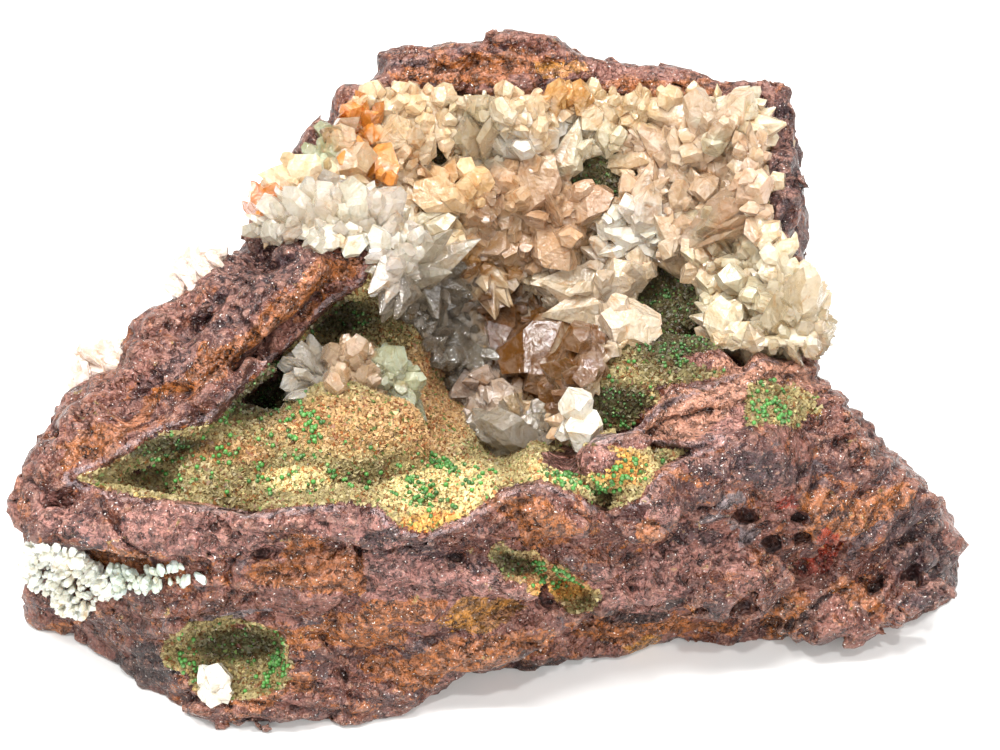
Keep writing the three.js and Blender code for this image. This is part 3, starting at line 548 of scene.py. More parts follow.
# Stains on the rock, and painted shadow under two ridges: the colour of each kind, and its patches as
# middle, half width and half height in points, and turn.
STAINS_AND_SHADOW_LINES = {
    "purple": ((82, 58, 62), [
        (262, 262, 46, 26, 20), (235, 300, 50, 10, 40), (170, 370, 60, 12, 42),
        (420, 555, 70, 24, -4), (750, 462, 60, 16, -5), (688, 545, 20, 18, 10),
        (920, 535, 24, 22, -40), (782, 170, 20, 90, 0), (730, 480, 20, 8, 0),
        (940, 580, 24, 50, 0),
    ]),
    "pink": ((192, 138, 128), [
        (200, 520, 80, 12, -2), (110, 520, 46, 14, -5), (400, 580, 110, 34, -5),
        (180, 535, 90, 22, -4), (640, 590, 50, 20, 0), (700, 560, 44, 16, 0),
        (580, 462, 46, 18, 5), (740, 420, 40, 16, 20), (60, 505, 30, 20, 0),
        (560, 600, 60, 10, 10), (660, 520, 26, 10, 20), (250, 545, 50, 12, 0),
        (350, 528, 60, 12, 0), (480, 600, 50, 16, 0),
    ]),
    "orange": ((194, 118, 54), [
        (250, 330, 95, 14, 42), (150, 415, 70, 10, 35), (330, 268, 32, 9, 15),
        (95, 440, 26, 12, 30), (480, 62, 90, 16, 5), (640, 88, 50, 10, -5), (700, 96, 30, 8, -10),
        (640, 626, 90, 10, -2), (470, 655, 95, 22, 12), (300, 575, 45, 18, -10),
        (345, 640, 60, 14, 5), (60, 630, 28, 8, 0), (130, 560, 40, 12, -15),
        (850, 515, 56, 24, 20), (862, 592, 22, 18, 0), (696, 480, 16, 8, -30),
        (812, 500, 30, 16, 0), (640, 540, 22, 16, -10), (785, 618, 34, 22, 20),
        (540, 520, 50, 16, -15), (260, 690, 60, 10, 5), (320, 560, 36, 20, -20),
        (390, 610, 60, 14, 8),
    ]),
    "coral": ((228, 168, 136), [
        (705, 398, 84, 24, 28), (765, 376, 50, 26, 0),
    ]),
    "yellow": ((222, 158, 64), [
        (548, 68, 26, 12, 0), (640, 640, 24, 12, 10), (478, 612, 40, 16, 10),
    ]),
    "red": ((166, 54, 32), [
        (826, 556, 20, 24, 0), (806, 574, 12, 12, 0), (775, 498, 16, 10, 0),
    ]),
    # The two long thin dark patches, at (640, 613) and (815, 620), lie under ridges: painted shadow.
    # The other dark patches are stains.
    "dark": ((46, 30, 30), [
        (560, 664, 50, 14, 5), (150, 665, 60, 20, 20), (640, 613, 60, 4, 4), (815, 620, 50, 5, 20),
        (880, 590, 9, 9, 0), (835, 516, 16, 6, 20),
    ]),
    "grey": ((156, 148, 152), [
        (610, 440, 26, 9, 0), (250, 510, 60, 4, -1), (390, 515, 30, 6, 0), (225, 620, 50, 5, 5),
        (734, 505, 12, 9, 40), (735, 536, 17, 15, 0), (772, 548, 13, 5, 0),
    ]),
}
WET_PLACES = [(790, 612, 46, 34), (826, 568, 30, 28), (880, 610, 40, 20)]
STAIN_DRIFT = 22  # how far the stains' edges wander, in points
RIM_TOP = 250  # the grey rim shows only below this line of the sheet

# The pockets that hold grains, the grains on the slab at the right, the places on the hollow's
# floor without grains, and where the grains are dark olive, orange, brown or pale. The dark olive
# lies in the recesses: a green coating darkened with painted shade.
GRAINY_HOLES = (0, 2, -2, -1)
SLAB_GRAINS = [(778, 404, 24, 22)]
BARE_FLOOR = [(580, 460, 46, 17), (610, 440, 24, 8), (740, 360, 60, 12), (700, 392, 60, 12)]
MOSS_AND_SHADE_PLACES = [
    (255, 385, 52, 36), (335, 316, 42, 20), (150, 445, 60, 10), (610, 172, 70, 50),
    (678, 310, 60, 66), (620, 402, 30, 18), (236, 644, 44, 16), (512, 566, 24, 12),
    (440, 160, 30, 30),
]
ORANGE_GRAINS = [(616, 466, 30, 18), (560, 590, 30, 10), (440, 525, 40, 12)]
BROWN_GRAINS = [(352, 425, 80, 28), (228, 452, 44, 12), (430, 400, 40, 60), (540, 580, 50, 26)]
PALE_GRAINS = [(440, 490, 60, 30), (350, 430, 60, 24), (590, 470, 70, 20), (300, 480, 40, 12)]


def ellipse_weight(across, down, middle, height, half_width, half_height, turn=0.0):
    """One inside an ellipse on the sheet, running out to nought at its edge."""
    angle = math.radians(turn)
    x, y = across - middle, height - down
    along = (x * math.cos(angle) + y * math.sin(angle)) / half_width
    over = (y * math.cos(angle) - x * math.sin(angle)) / half_height
    return smooth_step(1.35 - np.hypot(along, over), 0, 0.7)


def places_weight(rows, across, down):
    weight = np.zeros(across.shape)
    for row in rows:
        weight = np.maximum(weight, ellipse_weight(across, down, *row))
    return weight


def graininess(points):
    """How thickly grains lie on the rock: in the hollow, on the slab and in two pockets."""
    across, down, _, _ = seen(points)
    shift = STAIN_DRIFT * rough_noise(points, 9, 3, 70)
    front = facing(points)
    inside = smooth_step(-bed(points), 0.0, 0.9) * front
    grainy = inside * (1 - places_weight(BARE_FLOOR, across + shift / 2, down))
    grainy = np.maximum(grainy, places_weight(SLAB_GRAINS, across + shift, down) * front)
    ragged = raggedness(points)
    for number in GRAINY_HOLES:
        inner = smooth_step(ellipsoid(points, *HOLES[number]) - ragged, 0.3, 0.1)
        grainy = np.maximum(grainy, inner)
    return grainy


def rock_zones(points):
    """The rock's zones at its vertices: stains and painted shadow lines, grains, moss darkened with
    painted shade, the rim, wet gloss and beds.
    """
    across, down, _, _ = seen(points)
    shift = STAIN_DRIFT * rough_noise(points, 9, 3, 70)
    drift = STAIN_DRIFT * rough_noise(points, 9, 3, 80)
    front = facing(points)
    layers = bed(points)
    rim = smooth_step(layers, -0.2, 0.3) - smooth_step(layers, 0.9, 2.2)
    zones = {
        kind: places_weight(patches, across + shift, down + 0.6 * drift) * front
        for kind, (_, patches) in STAINS_AND_SHADOW_LINES.items()
    }
    zones["grainy"] = graininess(points)
    zones["moss_and_shade"] = places_weight(MOSS_AND_SHADE_PLACES, across, down) * front
    zones["rim"] = np.clip(rim, 0, 1) * front * (down > RIM_TOP)
    zones["wet"] = places_weight(WET_PLACES, across + shift, down + drift) * front
    zones["bed"] = layers + 3.5 * noise(points, 19, 3)
    return zones


def set_zone(mesh, zone, values):
    """Gives a mesh a number or a colour at each vertex."""
    values = np.asarray(values, np.float32)
    if values.ndim == 1:
        mesh.attributes.new(zone, "FLOAT", "POINT").data.foreach_set("value", values)
        return
    values = np.concatenate([values, np.ones((len(values), 1), np.float32)], 1)
    mesh.attributes.new(zone, "FLOAT_COLOR", "POINT").data.foreach_set("color", values.ravel())


def new_object(name, vertices, faces, zones=None, smooth=False):
    """A mesh object from corners in millimetres, with a value at each corner for each zone."""
    mesh = bpy.data.meshes.new(name)
    mesh.from_pydata(to_frame(vertices).tolist(), [], [list(map(int, face)) for face in faces])
    for zone, values in (zones or {}).items():
        set_zone(mesh, zone, values)
    if smooth:
        mesh.shade_smooth()
    else:
        mesh.shade_flat()
    mesh.update()
    piece = bpy.data.objects.new(name, mesh)
    bpy.context.collection.objects.link(piece)
    return piece


def apply_modifiers(piece):
    graph = bpy.context.evaluated_depsgraph_get()
    mesh = bpy.data.meshes.new_from_object(piece.evaluated_get(graph))
    piece.modifiers.clear()
    piece.data = mesh
    return piece


def thin_out(piece, triangles):
    """Fewer triangles where the surface is plain."""
    count = sum(len(polygon.vertices) - 2 for polygon in piece.data.polygons)
    if count > triangles:
        thin = piece.modifiers.new("thin", "DECIMATE")
        thin.ratio = triangles / count
        apply_modifiers(piece)
    return piece


ROCK_VERTICES, ROCK_FACES = surface(rock, *ROCK_BOX, ROCK_CELL, ROCK_MARGIN)
gossan = new_object("gossan", ROCK_VERTICES, ROCK_FACES, rock_zones(ROCK_VERTICES), smooth=True)
thin_out(gossan, ROCK_TRIANGLES)


# Crystals: each is the solid behind a set of flat faces.
def polyhedron(normals, distances):
    """The corners of the solid that lies behind every plane."""
    sides = range(len(normals))
    triples = np.array([(a, b, c) for a in sides for b in sides for c in sides if a < b < c])
    matrices = normals[triples]
    sound = np.abs(np.linalg.det(matrices)) > 1e-5
    reach = distances[triples[sound]][..., None]
    corners = np.linalg.solve(matrices[sound], reach)[..., 0]
    return corners[(corners @ normals.T <= distances + 1e-6).all(1)]


LEAN_SCATTER = 0.10
REACH_SCATTER = 0.04


def tilted_faces(count, slope, apex, turn, dice, scatter=0.07):
    """Planes round an axis that lean in to meet it at an apex: a slope of nought is upright."""
    normals, distances = [], []
    for side in range(count):
        angle = turn + 2 * math.pi * side / count + dice.normal(0, scatter)
        lean = slope * (1 + dice.normal(0, LEAN_SCATTER))
        normal = np.array(
            [math.cos(angle) * math.cos(lean), math.sin(angle) * math.cos(lean), math.sin(lean)]
        )
        normals.append(normal)
        distances.append(apex * math.sin(lean) * (1 + dice.normal(0, REACH_SCATTER)))
    return normals, distances


# Each kind of crystal: its waist's share of the length, how far past the tip its long faces
# would meet, the slope and number of its end faces, and its thickness. Below its root it narrows
# towards the end of its tail, and is cut off at its foot.
CRYSTAL_KINDS = {
    "point": (0.36, 1.04, 0.85, 3, 0.9),
    "block": (0.5, 2.2, 0.75, 3, 0.9),
    "blade": (0.62, 1.9, 0.6, 2, 0.45),
}
TAIL = 0.6
FOOT = 0.12


def crystal(kind, length, width, dice):
    """One crystal along +Z from a root at nought, in millimetres."""
    waist, reach, end_slope, ends, thickness = CRYSTAL_KINDS[kind]
    waist *= length
    top = length * reach
    upper = math.atan2(width / 2, top - waist)
    lower = math.atan2(width / 2, waist + TAIL * length)
    rows = [
        tilted_faces(6, upper, top, dice.uniform(0, 6), dice),
        tilted_faces(ends, end_slope, length, dice.uniform(0, 6), dice, 0.2),
    ]
    down = tilted_faces(5, lower, TAIL * length, dice.uniform(0, 6), dice)
    flip = np.array([1, 1, -1])
    rows.append(([normal * flip for normal in down[0]], down[1]))
    normals = np.array([normal for row in rows for normal in row[0]] + [[0, 0, -1]])
    distances = np.array([value for row in rows for value in row[1]] + [FOOT * length])
    corners = polyhedron(normals, distances)
    return corners * [1, thickness * dice.uniform(0.85, 1.1), 1]


def turned(corners, root, axis, roll):
    """Corners turned so that +Z lies along an axis, moved to a root."""
    axis = axis / np.linalg.norm(axis)
    helper = RIGHT if abs(axis[0]) < 0.8 else UP
    side = np.cross(helper, axis)
    side /= np.linalg.norm(side)
    other = np.cross(axis, side)
    side, other = (
        side * math.cos(roll) + other * math.sin(roll),
        other * math.cos(roll) - side * math.sin(roll),
    )
    return root + corners @ np.stack([side, other, axis])


def heading_axis(heading, lean):
    """A direction from its heading on the sheet and its lean towards the viewer."""
    angle = math.radians(heading)
    axis = RIGHT * math.cos(angle) + UP * math.sin(angle) - AWAY * lean
    return axis / np.linalg.norm(axis)


class Pile:
    """Crystals and the ground that they stand on, gathered to be joined in one solid."""

    def __init__(self):
        self.crystals, self.colours, self.ground = [], [], None

    def add(self, corners, colour):
        self.crystals.append(corners)
        self.colours.append(np.broadcast_to(colour, (len(corners), 3)))

    def stand_on(self, vertices, faces, colours):
        self.ground = (vertices, faces)
        self.colours.append(np.broadcast_to(colours, (len(vertices), 3)))

    def corners(self):
        return np.concatenate(self.crystals + ([self.ground[0]] if self.ground else []))


# The crystals placed one by one: root on the sheet, length, width, heading on the sheet in
# degrees, lean towards the viewer and kind.
LARGE_CRYSTALS = [
    (484, 148, 12, 9, 84, 0.5, "blade"), (411, 276, 19, 8.5, 25, 0.5, "point"),
    (416, 264, 5, 5, 70, 1.2, "block"), (408, 256, 4.5, 4, 130, 1.2, "block"),
    (394, 266, 9, 6, 228, 0.6, "point"), (412, 224, 8, 7.5, 170, 0.9, "block"),
    (430, 226, 8, 7, 10, 0.9, "block"), (452, 205, 11, 8, 150, 0.7, "block"),
    (462, 196, 9, 7, 40, 0.7, "block"), (510, 146, 12, 8.5, 14, 0.6, "block"),
    (556, 104, 6, 5, 85, 0.4, "block"), (580, 104, 5.5, 4, 88, 0.4, "block"),
    (566, 158, 10, 8, 75, 0.6, "point"), (636, 118, 8, 5.5, 85, 0.4, "point"),
    (682, 156, 10, 7, 85, 0.5, "point"), (616, 164, 10, 5, 8, 0.6, "block"),
    (716, 138, 12, 7, 52, 0.4, "block"), (700, 128, 9, 6, 100, 0.5, "block"),
    (705, 232, 14, 8.5, 38, 0.4, "blade"), (640, 238, 10, 6.5, 168, 0.6, "point"),
    (642, 222, 9, 8, 80, 0.6, "block"), (714, 290, 9, 9, 80, 0.8, "block"),
    (796, 318, 11, 7, 74, 0.3, "block"), (745, 338, 19, 8, -4, 0.25, "point"),
    (752, 352, 13, 6, -14, 0.2, "point"), (722, 322, 7, 6, 250, 0.6, "point"),
    (590, 282, 14, 8, 184, 0.4, "point"), (596, 306, 13, 8, 190, 0.4, "point"),
    (612, 300, 11, 7.5, 70, 0.8, "block"), (600, 326, 10, 9, 240, 0.5, "block"),
    (632, 316, 8, 8, 300, 0.5, "block"), (402, 284, 8, 5.5, 260, 0.4, "point"),
    (428, 286, 8, 5.5, 285, 0.4, "point"), (484, 286, 9, 7, 290, 0.5, "point"),
    (504, 322, 10, 8, 255, 0.5, "point"), (560, 336, 16, 13, 215, 0.3, "block"),
    (582, 352, 13, 11, 260, 0.3, "block"), (486, 384, 10, 8, 200, 0.6, "point"),
    (500, 396, 8, 7, 290, 0.6, "point"), (500, 440, 12, 8, 20, 0.3, "block"),
    (526, 440, 11, 7, 150, 0.3, "block"), (455, 340, 8, 7, 230, 0.6, "point"),
    (470, 352, 8, 6, 300, 0.6, "point"), (365, 132, 8, 5, 95, 0.3, "blade"),
    (356, 172, 9, 6, 120, 0.3, "blade"), (334, 216, 8, 7, 118, 0.2, "block"),
    (310, 218, 8, 7, 132, 0.2, "block"), (290, 220, 7, 6, 146, 0.2, "blade"),
    (272, 224, 6, 5, 160, 0.2, "blade"), (358, 216, 8, 7, 98, 0.2, "block"),
    (380, 220, 8, 7, 60, 0.4, "block"), (300, 180, 8, 6, 170, 0.3, "blade"),
    (530, 196, 11, 9, 60, 0.5, "block"), (545, 232, 12, 9, 300, 0.6, "block"),
    (505, 232, 9, 8, 220, 0.6, "block"), (576, 212, 10, 8, 20, 0.6, "block"),
]
FAN_CRYSTALS = [
    (312, 384, 6.6, 4, 172, 0.5, "blade"), (310, 374, 7, 4, 156, 0.5, "blade"),
    (318, 368, 6.6, 4.4, 132, 0.5, "blade"), (312, 392, 6, 4, 196, 0.5, "blade"),
    (336, 366, 6, 5, 104, 0.6, "block"), (354, 364, 6.6, 5, 86, 0.6, "block"),
    (340, 388, 5.5, 5, 120, 1.2, "block"), (364, 384, 5.5, 5, 70, 1.1, "block"),
    (390, 368, 6, 6, 70, 0.9, "block"), (396, 394, 6, 4.5, 320, 0.7, "block"),
    (402, 384, 6, 4.5, 10, 0.6, "block"), (410, 400, 6, 4, 300, 0.6, "blade"),
]
FAN_HEART = (352, 390, 12)
FAN_RADII = (10.5, 7, 6)
FAN_REACH = 14.0  # of the box round the cluster's heart, each way
FAN_COUNT, FAN_SPACING = 1200, 1.5
FAN_TINTS = [(330, (246, 242, 232)), (378, (242, 212, 178)), (1000, (226, 236, 206))]
STUB_BASE = (582, 446, 24)
STUB_HEIGHT = 12.0
STUB_WIDTH = 8.5
DRUSE_THICKNESS = 3.6
DRUSE_COUNT, DRUSE_SPACING = 2600, 1.05
DRUSE_BOX = (-100, -50, -2), (-44, 0, 44)
POCKET_CRYSTAL = (217, 690, 6, 5.5, 80, 0.6, "block")
ARM_DRUSE_DEPTH = 14.0
ARM_DRUSES = {
    "arm_druse_low": [(92, 392), (104, 380), (118, 372), (131, 362)],
    "arm_druse_high": [(196, 298), (210, 286), (224, 274)],
}

# Colours of crystal, in the red, green and blue of a picture from 0 to 255.
CREAM = (232, 206, 170)
PEACH = (244, 220, 182)
BEIGE = (216, 180, 144)
IVORY = (236, 224, 196)
WHITE = (242, 238, 226)
AMBER = (244, 160, 60)
HONEY = (126, 82, 32)
SMOKY = (164, 156, 144)
GREENISH = (208, 218, 184)
# Where each colour lies: middle, half width and half height in points.
TINT_PLACES = [
    (322, 214, 74, 30, WHITE), (360, 138, 22, 44, AMBER), (310, 178, 50, 16, PEACH),
    (268, 204, 26, 16, AMBER), (548, 352, 56, 50, HONEY), (515, 318, 36, 30, HONEY),
    (480, 260, 40, 22, (214, 168, 112)), (430, 330, 50, 90, SMOKY), (512, 434, 44, 24, (206, 198, 184)),
    (316, 152, 20, 20, GREENISH), (410, 262, 46, 30, WHITE), (415, 222, 34, 20, (238, 228, 204)),
    (452, 200, 34, 16, (236, 200, 150)), (400, 110, 50, 36, PEACH), (480, 140, 26, 40, IVORY),
    (560, 92, 18, 14, (216, 164, 92)), (580, 92, 12, 12, (212, 160, 90)), (520, 146, 40, 16, WHITE),
    (535, 210, 56, 56, BEIGE), (575, 140, 40, 24, IVORY), (700, 180, 80, 70, (226, 198, 168)),
    (720, 215, 40, 24, IVORY), (640, 232, 44, 22, WHITE), (770, 300, 64, 56, IVORY),
    (590, 296, 66, 48, (234, 216, 190)), (480, 390, 36, 28, (206, 186, 168)),
    (735, 120, 30, 34, IVORY), (630, 105, 40, 20, (232, 206, 166)),
]
CLEAR_PLACES = [
    (430, 330, 50, 92), (512, 434, 46, 26), (316, 152, 22, 22),
    (395, 270, 30, 26), (790, 335, 46, 20), (480, 140, 22, 36), (480, 215, 20, 16),
    (310, 214, 66, 26), (700, 232, 20, 16), (552, 360, 24, 20), (350, 140, 16, 26),
]


def linear(colour):
    """A picture's colour as light."""
    share = np.array(colour, float) / 255
    return np.where(share > 0.04045, ((share + 0.055) / 1.055) ** 2.4, share / 12.92)


def tint_at(across, down, dice):
    """The colour of a crystal rooted at a place on the sheet."""
    colour, best = linear(CREAM), 1.05
    for middle, height, half_width, half_height, tint in TINT_PLACES:
        near = math.hypot((across - middle) / half_width, (down - height) / half_height)
        if near + dice.normal(0, 0.08) < best:
            best, colour = near, linear(tint)
    return colour * (1 + dice.normal(0, 0.05)) * (1 + dice.normal(0, 0.015, 3))


def clarity(across, down, dice):
    """Which pile a crystal belongs to, by its place on the sheet."""
    spots = [math.hypot((across - a) / w, (down - d) / h) for a, d, w, h in CLEAR_PLACES]
    return "clear" if min(spots) + dice.normal(0, 0.12) < 1 else "cream"


def ground_of_hollow(points):
    return np.minimum(lining_field(points), plain_rock(points))


def planted(rows, ground):
    """Crystals placed one by one, each with its root on the ground and its direction."""
    roots = first_meeting(ground, [row[0] for row in rows], [row[1] for row in rows])
    for (*row, heading, lean, kind), root in zip(rows, roots):
        yield *row, kind, root, heading_axis(heading, lean)


def mesh_places(vertices, faces, count, weight, dice, spacing=0.0):
    """Places picked at random over a mesh by area and weight, and the way out at each."""
    a, b, c, d = (vertices[faces[:, i]] for i in range(4))
    out = np.cross(c - a, d - b)
    area = np.linalg.norm(out, axis=1) / 2
    middles = (a + b + c + d) / 4
    share = area * weight(middles)
    chosen = dice.choice(len(faces), count, p=share / share.sum())
    u, v = dice.uniform(0, 1, (2, count, 1))
    spots = (a[chosen] * (1 - u) + b[chosen] * u) * (1 - v)
    spots = spots + (d[chosen] * (1 - u) + c[chosen] * u) * v
    ways = out[chosen] / (2 * area[chosen, None])
    if spacing:
        kept = []
        for number, spot in enumerate(spots):
            if not kept or np.linalg.norm(spots[kept] - spot, axis=1).min() > spacing:
                kept.append(number)
        spots, ways = spots[kept], ways[kept]
    return spots, ways


def add_crystal(pile, kind, length, width, root, axis, colour, dice):
    corners = crystal(kind, length, width, dice)
    pile.add(turned(corners, root, axis, dice.uniform(0, 6)), colour)


SINGLE_LENGTH = 7.5  # a shorter crystal of a group has one smaller one beside it


def add_group(pile, kind, length, width, root, axis, colour, dice):
    """A large crystal with smaller ones that share its direction."""
    add_crystal(pile, kind, length, width, root, axis, colour, dice)
    for _ in range(int(dice.integers(2, 5)) if length > SINGLE_LENGTH else 1):
        size = dice.uniform(0.4, 0.68)
        side = np.cross(axis, dice.normal(0, 1, 3))
        side /= np.linalg.norm(side)
        start = root + side * width * 0.36 + axis * length * dice.uniform(0.0, 0.45)
        lean = axis + side * 0.35 + dice.normal(0, 0.12, 3)
        shade = colour * (1 + dice.normal(0, 0.04))
        add_crystal(pile, kind, length * size, width * size, start, lean, shade, dice)


# How many of each size are tried for, the space between them, and their least and greatest
# lengths in millimetres.
CRYSTAL_SIZES = [(700, 6.4, 7.0, 10.5), (1500, 3.8, 4.4, 7.0), (4200, 2.0, 2.2, 4.6)]
KIND_SHARES = {"point": 0.34, "block": 0.48, "blade": 0.18}
GROUP_LENGTH = 6.0  # a longer crystal has smaller ones beside it


def crystal_shortening(across, down):
    """From nought to one where crystals stay short: at the top, at the right, over the arm."""
    right = smooth_step(across, 780, 810)
    arm = smooth_step(across, 370, 350) * smooth_step(down, 205, 225)
    return max(smooth_step(down, 130, 100), right, arm)


def scattered_crystal(piles, spot, way, shortest, longest, dice):
    """One of the crystals between the placed ones, at a spot of the lining."""
    across, down, _, _ = (float(value) for value in seen(spot))
    axis = way + 0.3 * UP + dice.normal(0, 0.4, 3)
    deep = smooth_step(down, 260, 330) * (across < 560)
    axis = axis - AWAY * 0.5 * smooth_step(down, 130, 100)
    length = dice.uniform(shortest, longest) * (1 - 0.2 * deep)
    length = min(length, 10 - 5 * crystal_shortening(across, down))
    axis /= np.linalg.norm(axis)
    width = length * dice.uniform(0.55, 0.95)
    kind = str(dice.choice(list(KIND_SHARES), p=list(KIND_SHARES.values())))
    pile = piles[clarity(across, down, dice)]
    colour = tint_at(across, down, dice)
    add = add_group if length > GROUP_LENGTH else add_crystal
    add(pile, kind, length, width, spot - axis * 0.32 * length, axis, colour, dice)


def hollow_crystals():
    """The crystals that line the hollow, cream ones and clear ones."""
    dice = np.random.default_rng(SEED)
    piles = {"cream": Pile(), "clear": Pile()}
    for across, down, length, width, kind, root, axis in planted(LARGE_CRYSTALS, ground_of_hollow):
        pile = piles[clarity(across, down, dice)]
        colour = tint_at(across, down, dice)
        start = root - axis * 0.25 * length
        add_group(pile, kind, length * 1.2, width, start, axis, colour, dice)
    for count, spacing, *lengths in CRYSTAL_SIZES:
        places = mesh_places(LINING_VERTICES, LINING_FACES, count, crystal_share, dice, spacing)
        for spot, way in zip(*places):
            scattered_crystal(piles, spot, way, *lengths, dice)
    return piles


def crystal_share(middles):
    """How thickly the crystals stand: where the lining faces out of the rock, clear of the
    places left bare."""
    free = plain_rock(middles)
    across, down, _, _ = seen(middles)
    bare = np.zeros(len(middles), bool)
    ragged = 0.5 * noise(middles, 6, 66)
    for middle, height, half_width, half_height in CLEARINGS:
        near = np.hypot((across - middle) / half_width, (down - height) / half_height)
        bare |= near + ragged < 1
    return (free > 1.5) * (0.4 + smooth_step(free, 1.5, 3.0)) * ~bare


LINING_VERTICES, LINING_FACES = surface(lining_field, *LINING_BOX, LINING_CELL, LINING_MARGIN)


def lining_tint(points):
    across, down, _, _ = seen(points)
    colour = np.tile(linear(CREAM), (len(points), 1))
    for middle, height, half_width, half_height, tint in TINT_PLACES:
        near = ellipse_weight(across, down, middle, height, half_width, half_height)[:, None]
        colour = colour * (1 - near) + linear(tint) * near
    return colour


def crystal_object(corners):
    """One crystal, closed round its corners."""
    shell = bmesh.new()
    dots = [shell.verts.new(corner) for corner in to_frame(corners)]
    bmesh.ops.convex_hull(shell, input=dots)
    loose = [dot for dot in shell.verts if not dot.link_faces]
    bmesh.ops.delete(shell, geom=loose, context="VERTS")
    bmesh.ops.recalc_face_normals(shell, faces=shell.faces)
    mesh = bpy.data.meshes.new("crystal")
    shell.to_mesh(mesh)
    shell.free()
    piece = bpy.data.objects.new("crystal", mesh)
    bpy.context.collection.objects.link(piece)
    return piece


GROUND_CELL = 0.8


def ground_object(vertices, faces, triangles):
    """The ground under crystals as a closed skin."""
    piece = new_object("ground", vertices, faces)
    skin = piece.modifiers.new("skin", "REMESH")
    skin.mode = "VOXEL"
    skin.voxel_size = GROUND_CELL * MM
    apply_modifiers(piece)
    return thin_out(piece, triangles)


def grown_together(pile, name, triangles=0):
    """The crystals of a pile joined in one solid, each place coloured by the nearest crystal.
    The ground under them has about the given number of triangles."""
    parts = [crystal_object(corners) for corners in pile.crystals]
    if pile.ground:
        parts.append(ground_object(*pile.ground, triangles))
    piece, others = parts[-1], bpy.data.collections.new("others")
    for part in parts[:-1]:
        others.objects.link(part)
    join = piece.modifiers.new("join", "BOOLEAN")
    join.operation = "UNION"
    join.solver = "MANIFOLD"
    join.operand_type = "COLLECTION"
    join.collection = others
    apply_modifiers(piece)
    for part in parts[:-1]:
        bpy.data.objects.remove(part)
    bpy.data.collections.remove(others)
    piece.name = piece.data.name = name
    corners, colours = to_frame(pile.corners()), np.concatenate(pile.colours)
    tree = KDTree(len(corners))
    for number, corner in enumerate(corners):
        tree.insert(corner, number)
    tree.balance()
    nearest = [tree.find(vertex.co)[1] for vertex in piece.data.vertices]
    set_zone(piece.data, "tint", colours[nearest])
    piece.data.shade_flat()
    return piece


crystals = hollow_crystals()
crystals["cream"].stand_on(LINING_VERTICES, LINING_FACES, lining_tint(LINING_VERTICES))
cream_crystals = grown_together(crystals["cream"], "cream_crystals", 60000)
clear_crystals = grown_together(crystals["clear"], "clear_crystals")


def fan_field(points):
    knobs = 0.9 * rough_noise(points, 6, 2, 90)
    return ellipsoid(points, one_place(*FAN_HEART), FAN_RADII, 0) - knobs


def fan_tint(across):
    """White at the left of the cluster, beige in its middle and greenish at its right."""
    return linear(next(tint for limit, tint in FAN_TINTS if across < limit))


def fan_ground(points):
    return np.minimum(fan_field(points), plain_rock(points))


def fan_crystals():
    """The cluster on the shelf."""
    dice = np.random.default_rng(SEED + 1)
    pile = Pile()
    for across, _, length, width, kind, root, axis in planted(FAN_CRYSTALS, fan_ground):
        start = root - axis * 0.2 * length
        add_group(pile, kind, length * 1.15, width, start, axis, fan_tint(across), dice)
    low = one_place(*FAN_HEART) - FAN_REACH
    vertices, faces = surface(fan_field, low, low + 2 * FAN_REACH, SMALL_CELL, SMALL_MARGIN)
    spots, ways = mesh_places(vertices, faces, FAN_COUNT, lambda at: 1.0, dice, FAN_SPACING)
    for spot, way in zip(spots, ways):
        colour = fan_tint(float(seen(spot)[0]))
        axis = way + 0.4 * UP + dice.normal(0, 0.3, 3)
        length = dice.uniform(2.2, 4.8)
        add_crystal(pile, "block", length, length * 0.7, spot - way, axis, colour, dice)
    pile.stand_on(vertices, faces, linear(WHITE) * 0.95)
    return grown_together(pile, "fan_crystals", 12000)


def stub_piece():
    """The squat crystal with a second, tilted one on its top."""
    dice = np.random.default_rng(SEED + 2)
    pile = Pile()
    root, axis = one_place(*STUB_BASE), heading_axis(92, 0.1)
    colour = linear((240, 236, 224))
    add_group(pile, "block", STUB_HEIGHT * 0.62, STUB_WIDTH, root, axis, colour, dice)
    top = root + axis * STUB_HEIGHT * 0.46
    head = heading_axis(112, 0.2)
    add_crystal(pile, "block", STUB_HEIGHT * 0.5, STUB_WIDTH * 0.82, top, head, colour, dice)
    for heading in (10, 50, 130, 170):
        side = heading_axis(heading, 0.6)
        add_crystal(pile, "block", 4.0, 3.4, root + axis * 2.8, side, colour, dice)
    return grown_together(pile, "stub_crystals")


def druse_field(points):
    across, down, depth, scale = seen(points)
    far = plain_rock(points) - DRUSE_THICKNESS * 0.6 - 0.7 * rough_noise(points, 5, 2, 95)
    far = np.maximum(far, read_map(MAPS["druse"], across, down) / scale)
    return np.maximum(far, 8 - depth)


def clear_of_rock(points):
    return (plain_rock(points) > 0.6) * 1.0


def druse_piece():
    """The pale blue-green druse in the left end's pocket."""
    dice = np.random.default_rng(SEED + 3)
    pile = Pile()
    vertices, faces = surface(druse_field, *DRUSE_BOX, SMALL_CELL, SMALL_MARGIN)
    places = mesh_places(vertices, faces, DRUSE_COUNT, clear_of_rock, dice, DRUSE_SPACING)
    for spot, way in zip(*places):
        across = float(seen(spot)[0])
        axis = way + dice.normal(0, 0.4, 3)
        length = dice.uniform(1.4, 3.0)
        shade = linear((214, 232, 226) if across > 110 else (240, 246, 240))
        shade = shade * (1 + dice.normal(0, 0.06))
        add_crystal(pile, "block", length, length * 0.62, spot - way * 0.7, axis, shade, dice)
    pile.stand_on(vertices, faces, linear((224, 236, 230)))
    return grown_together(pile, "druse_crystals", 20000)


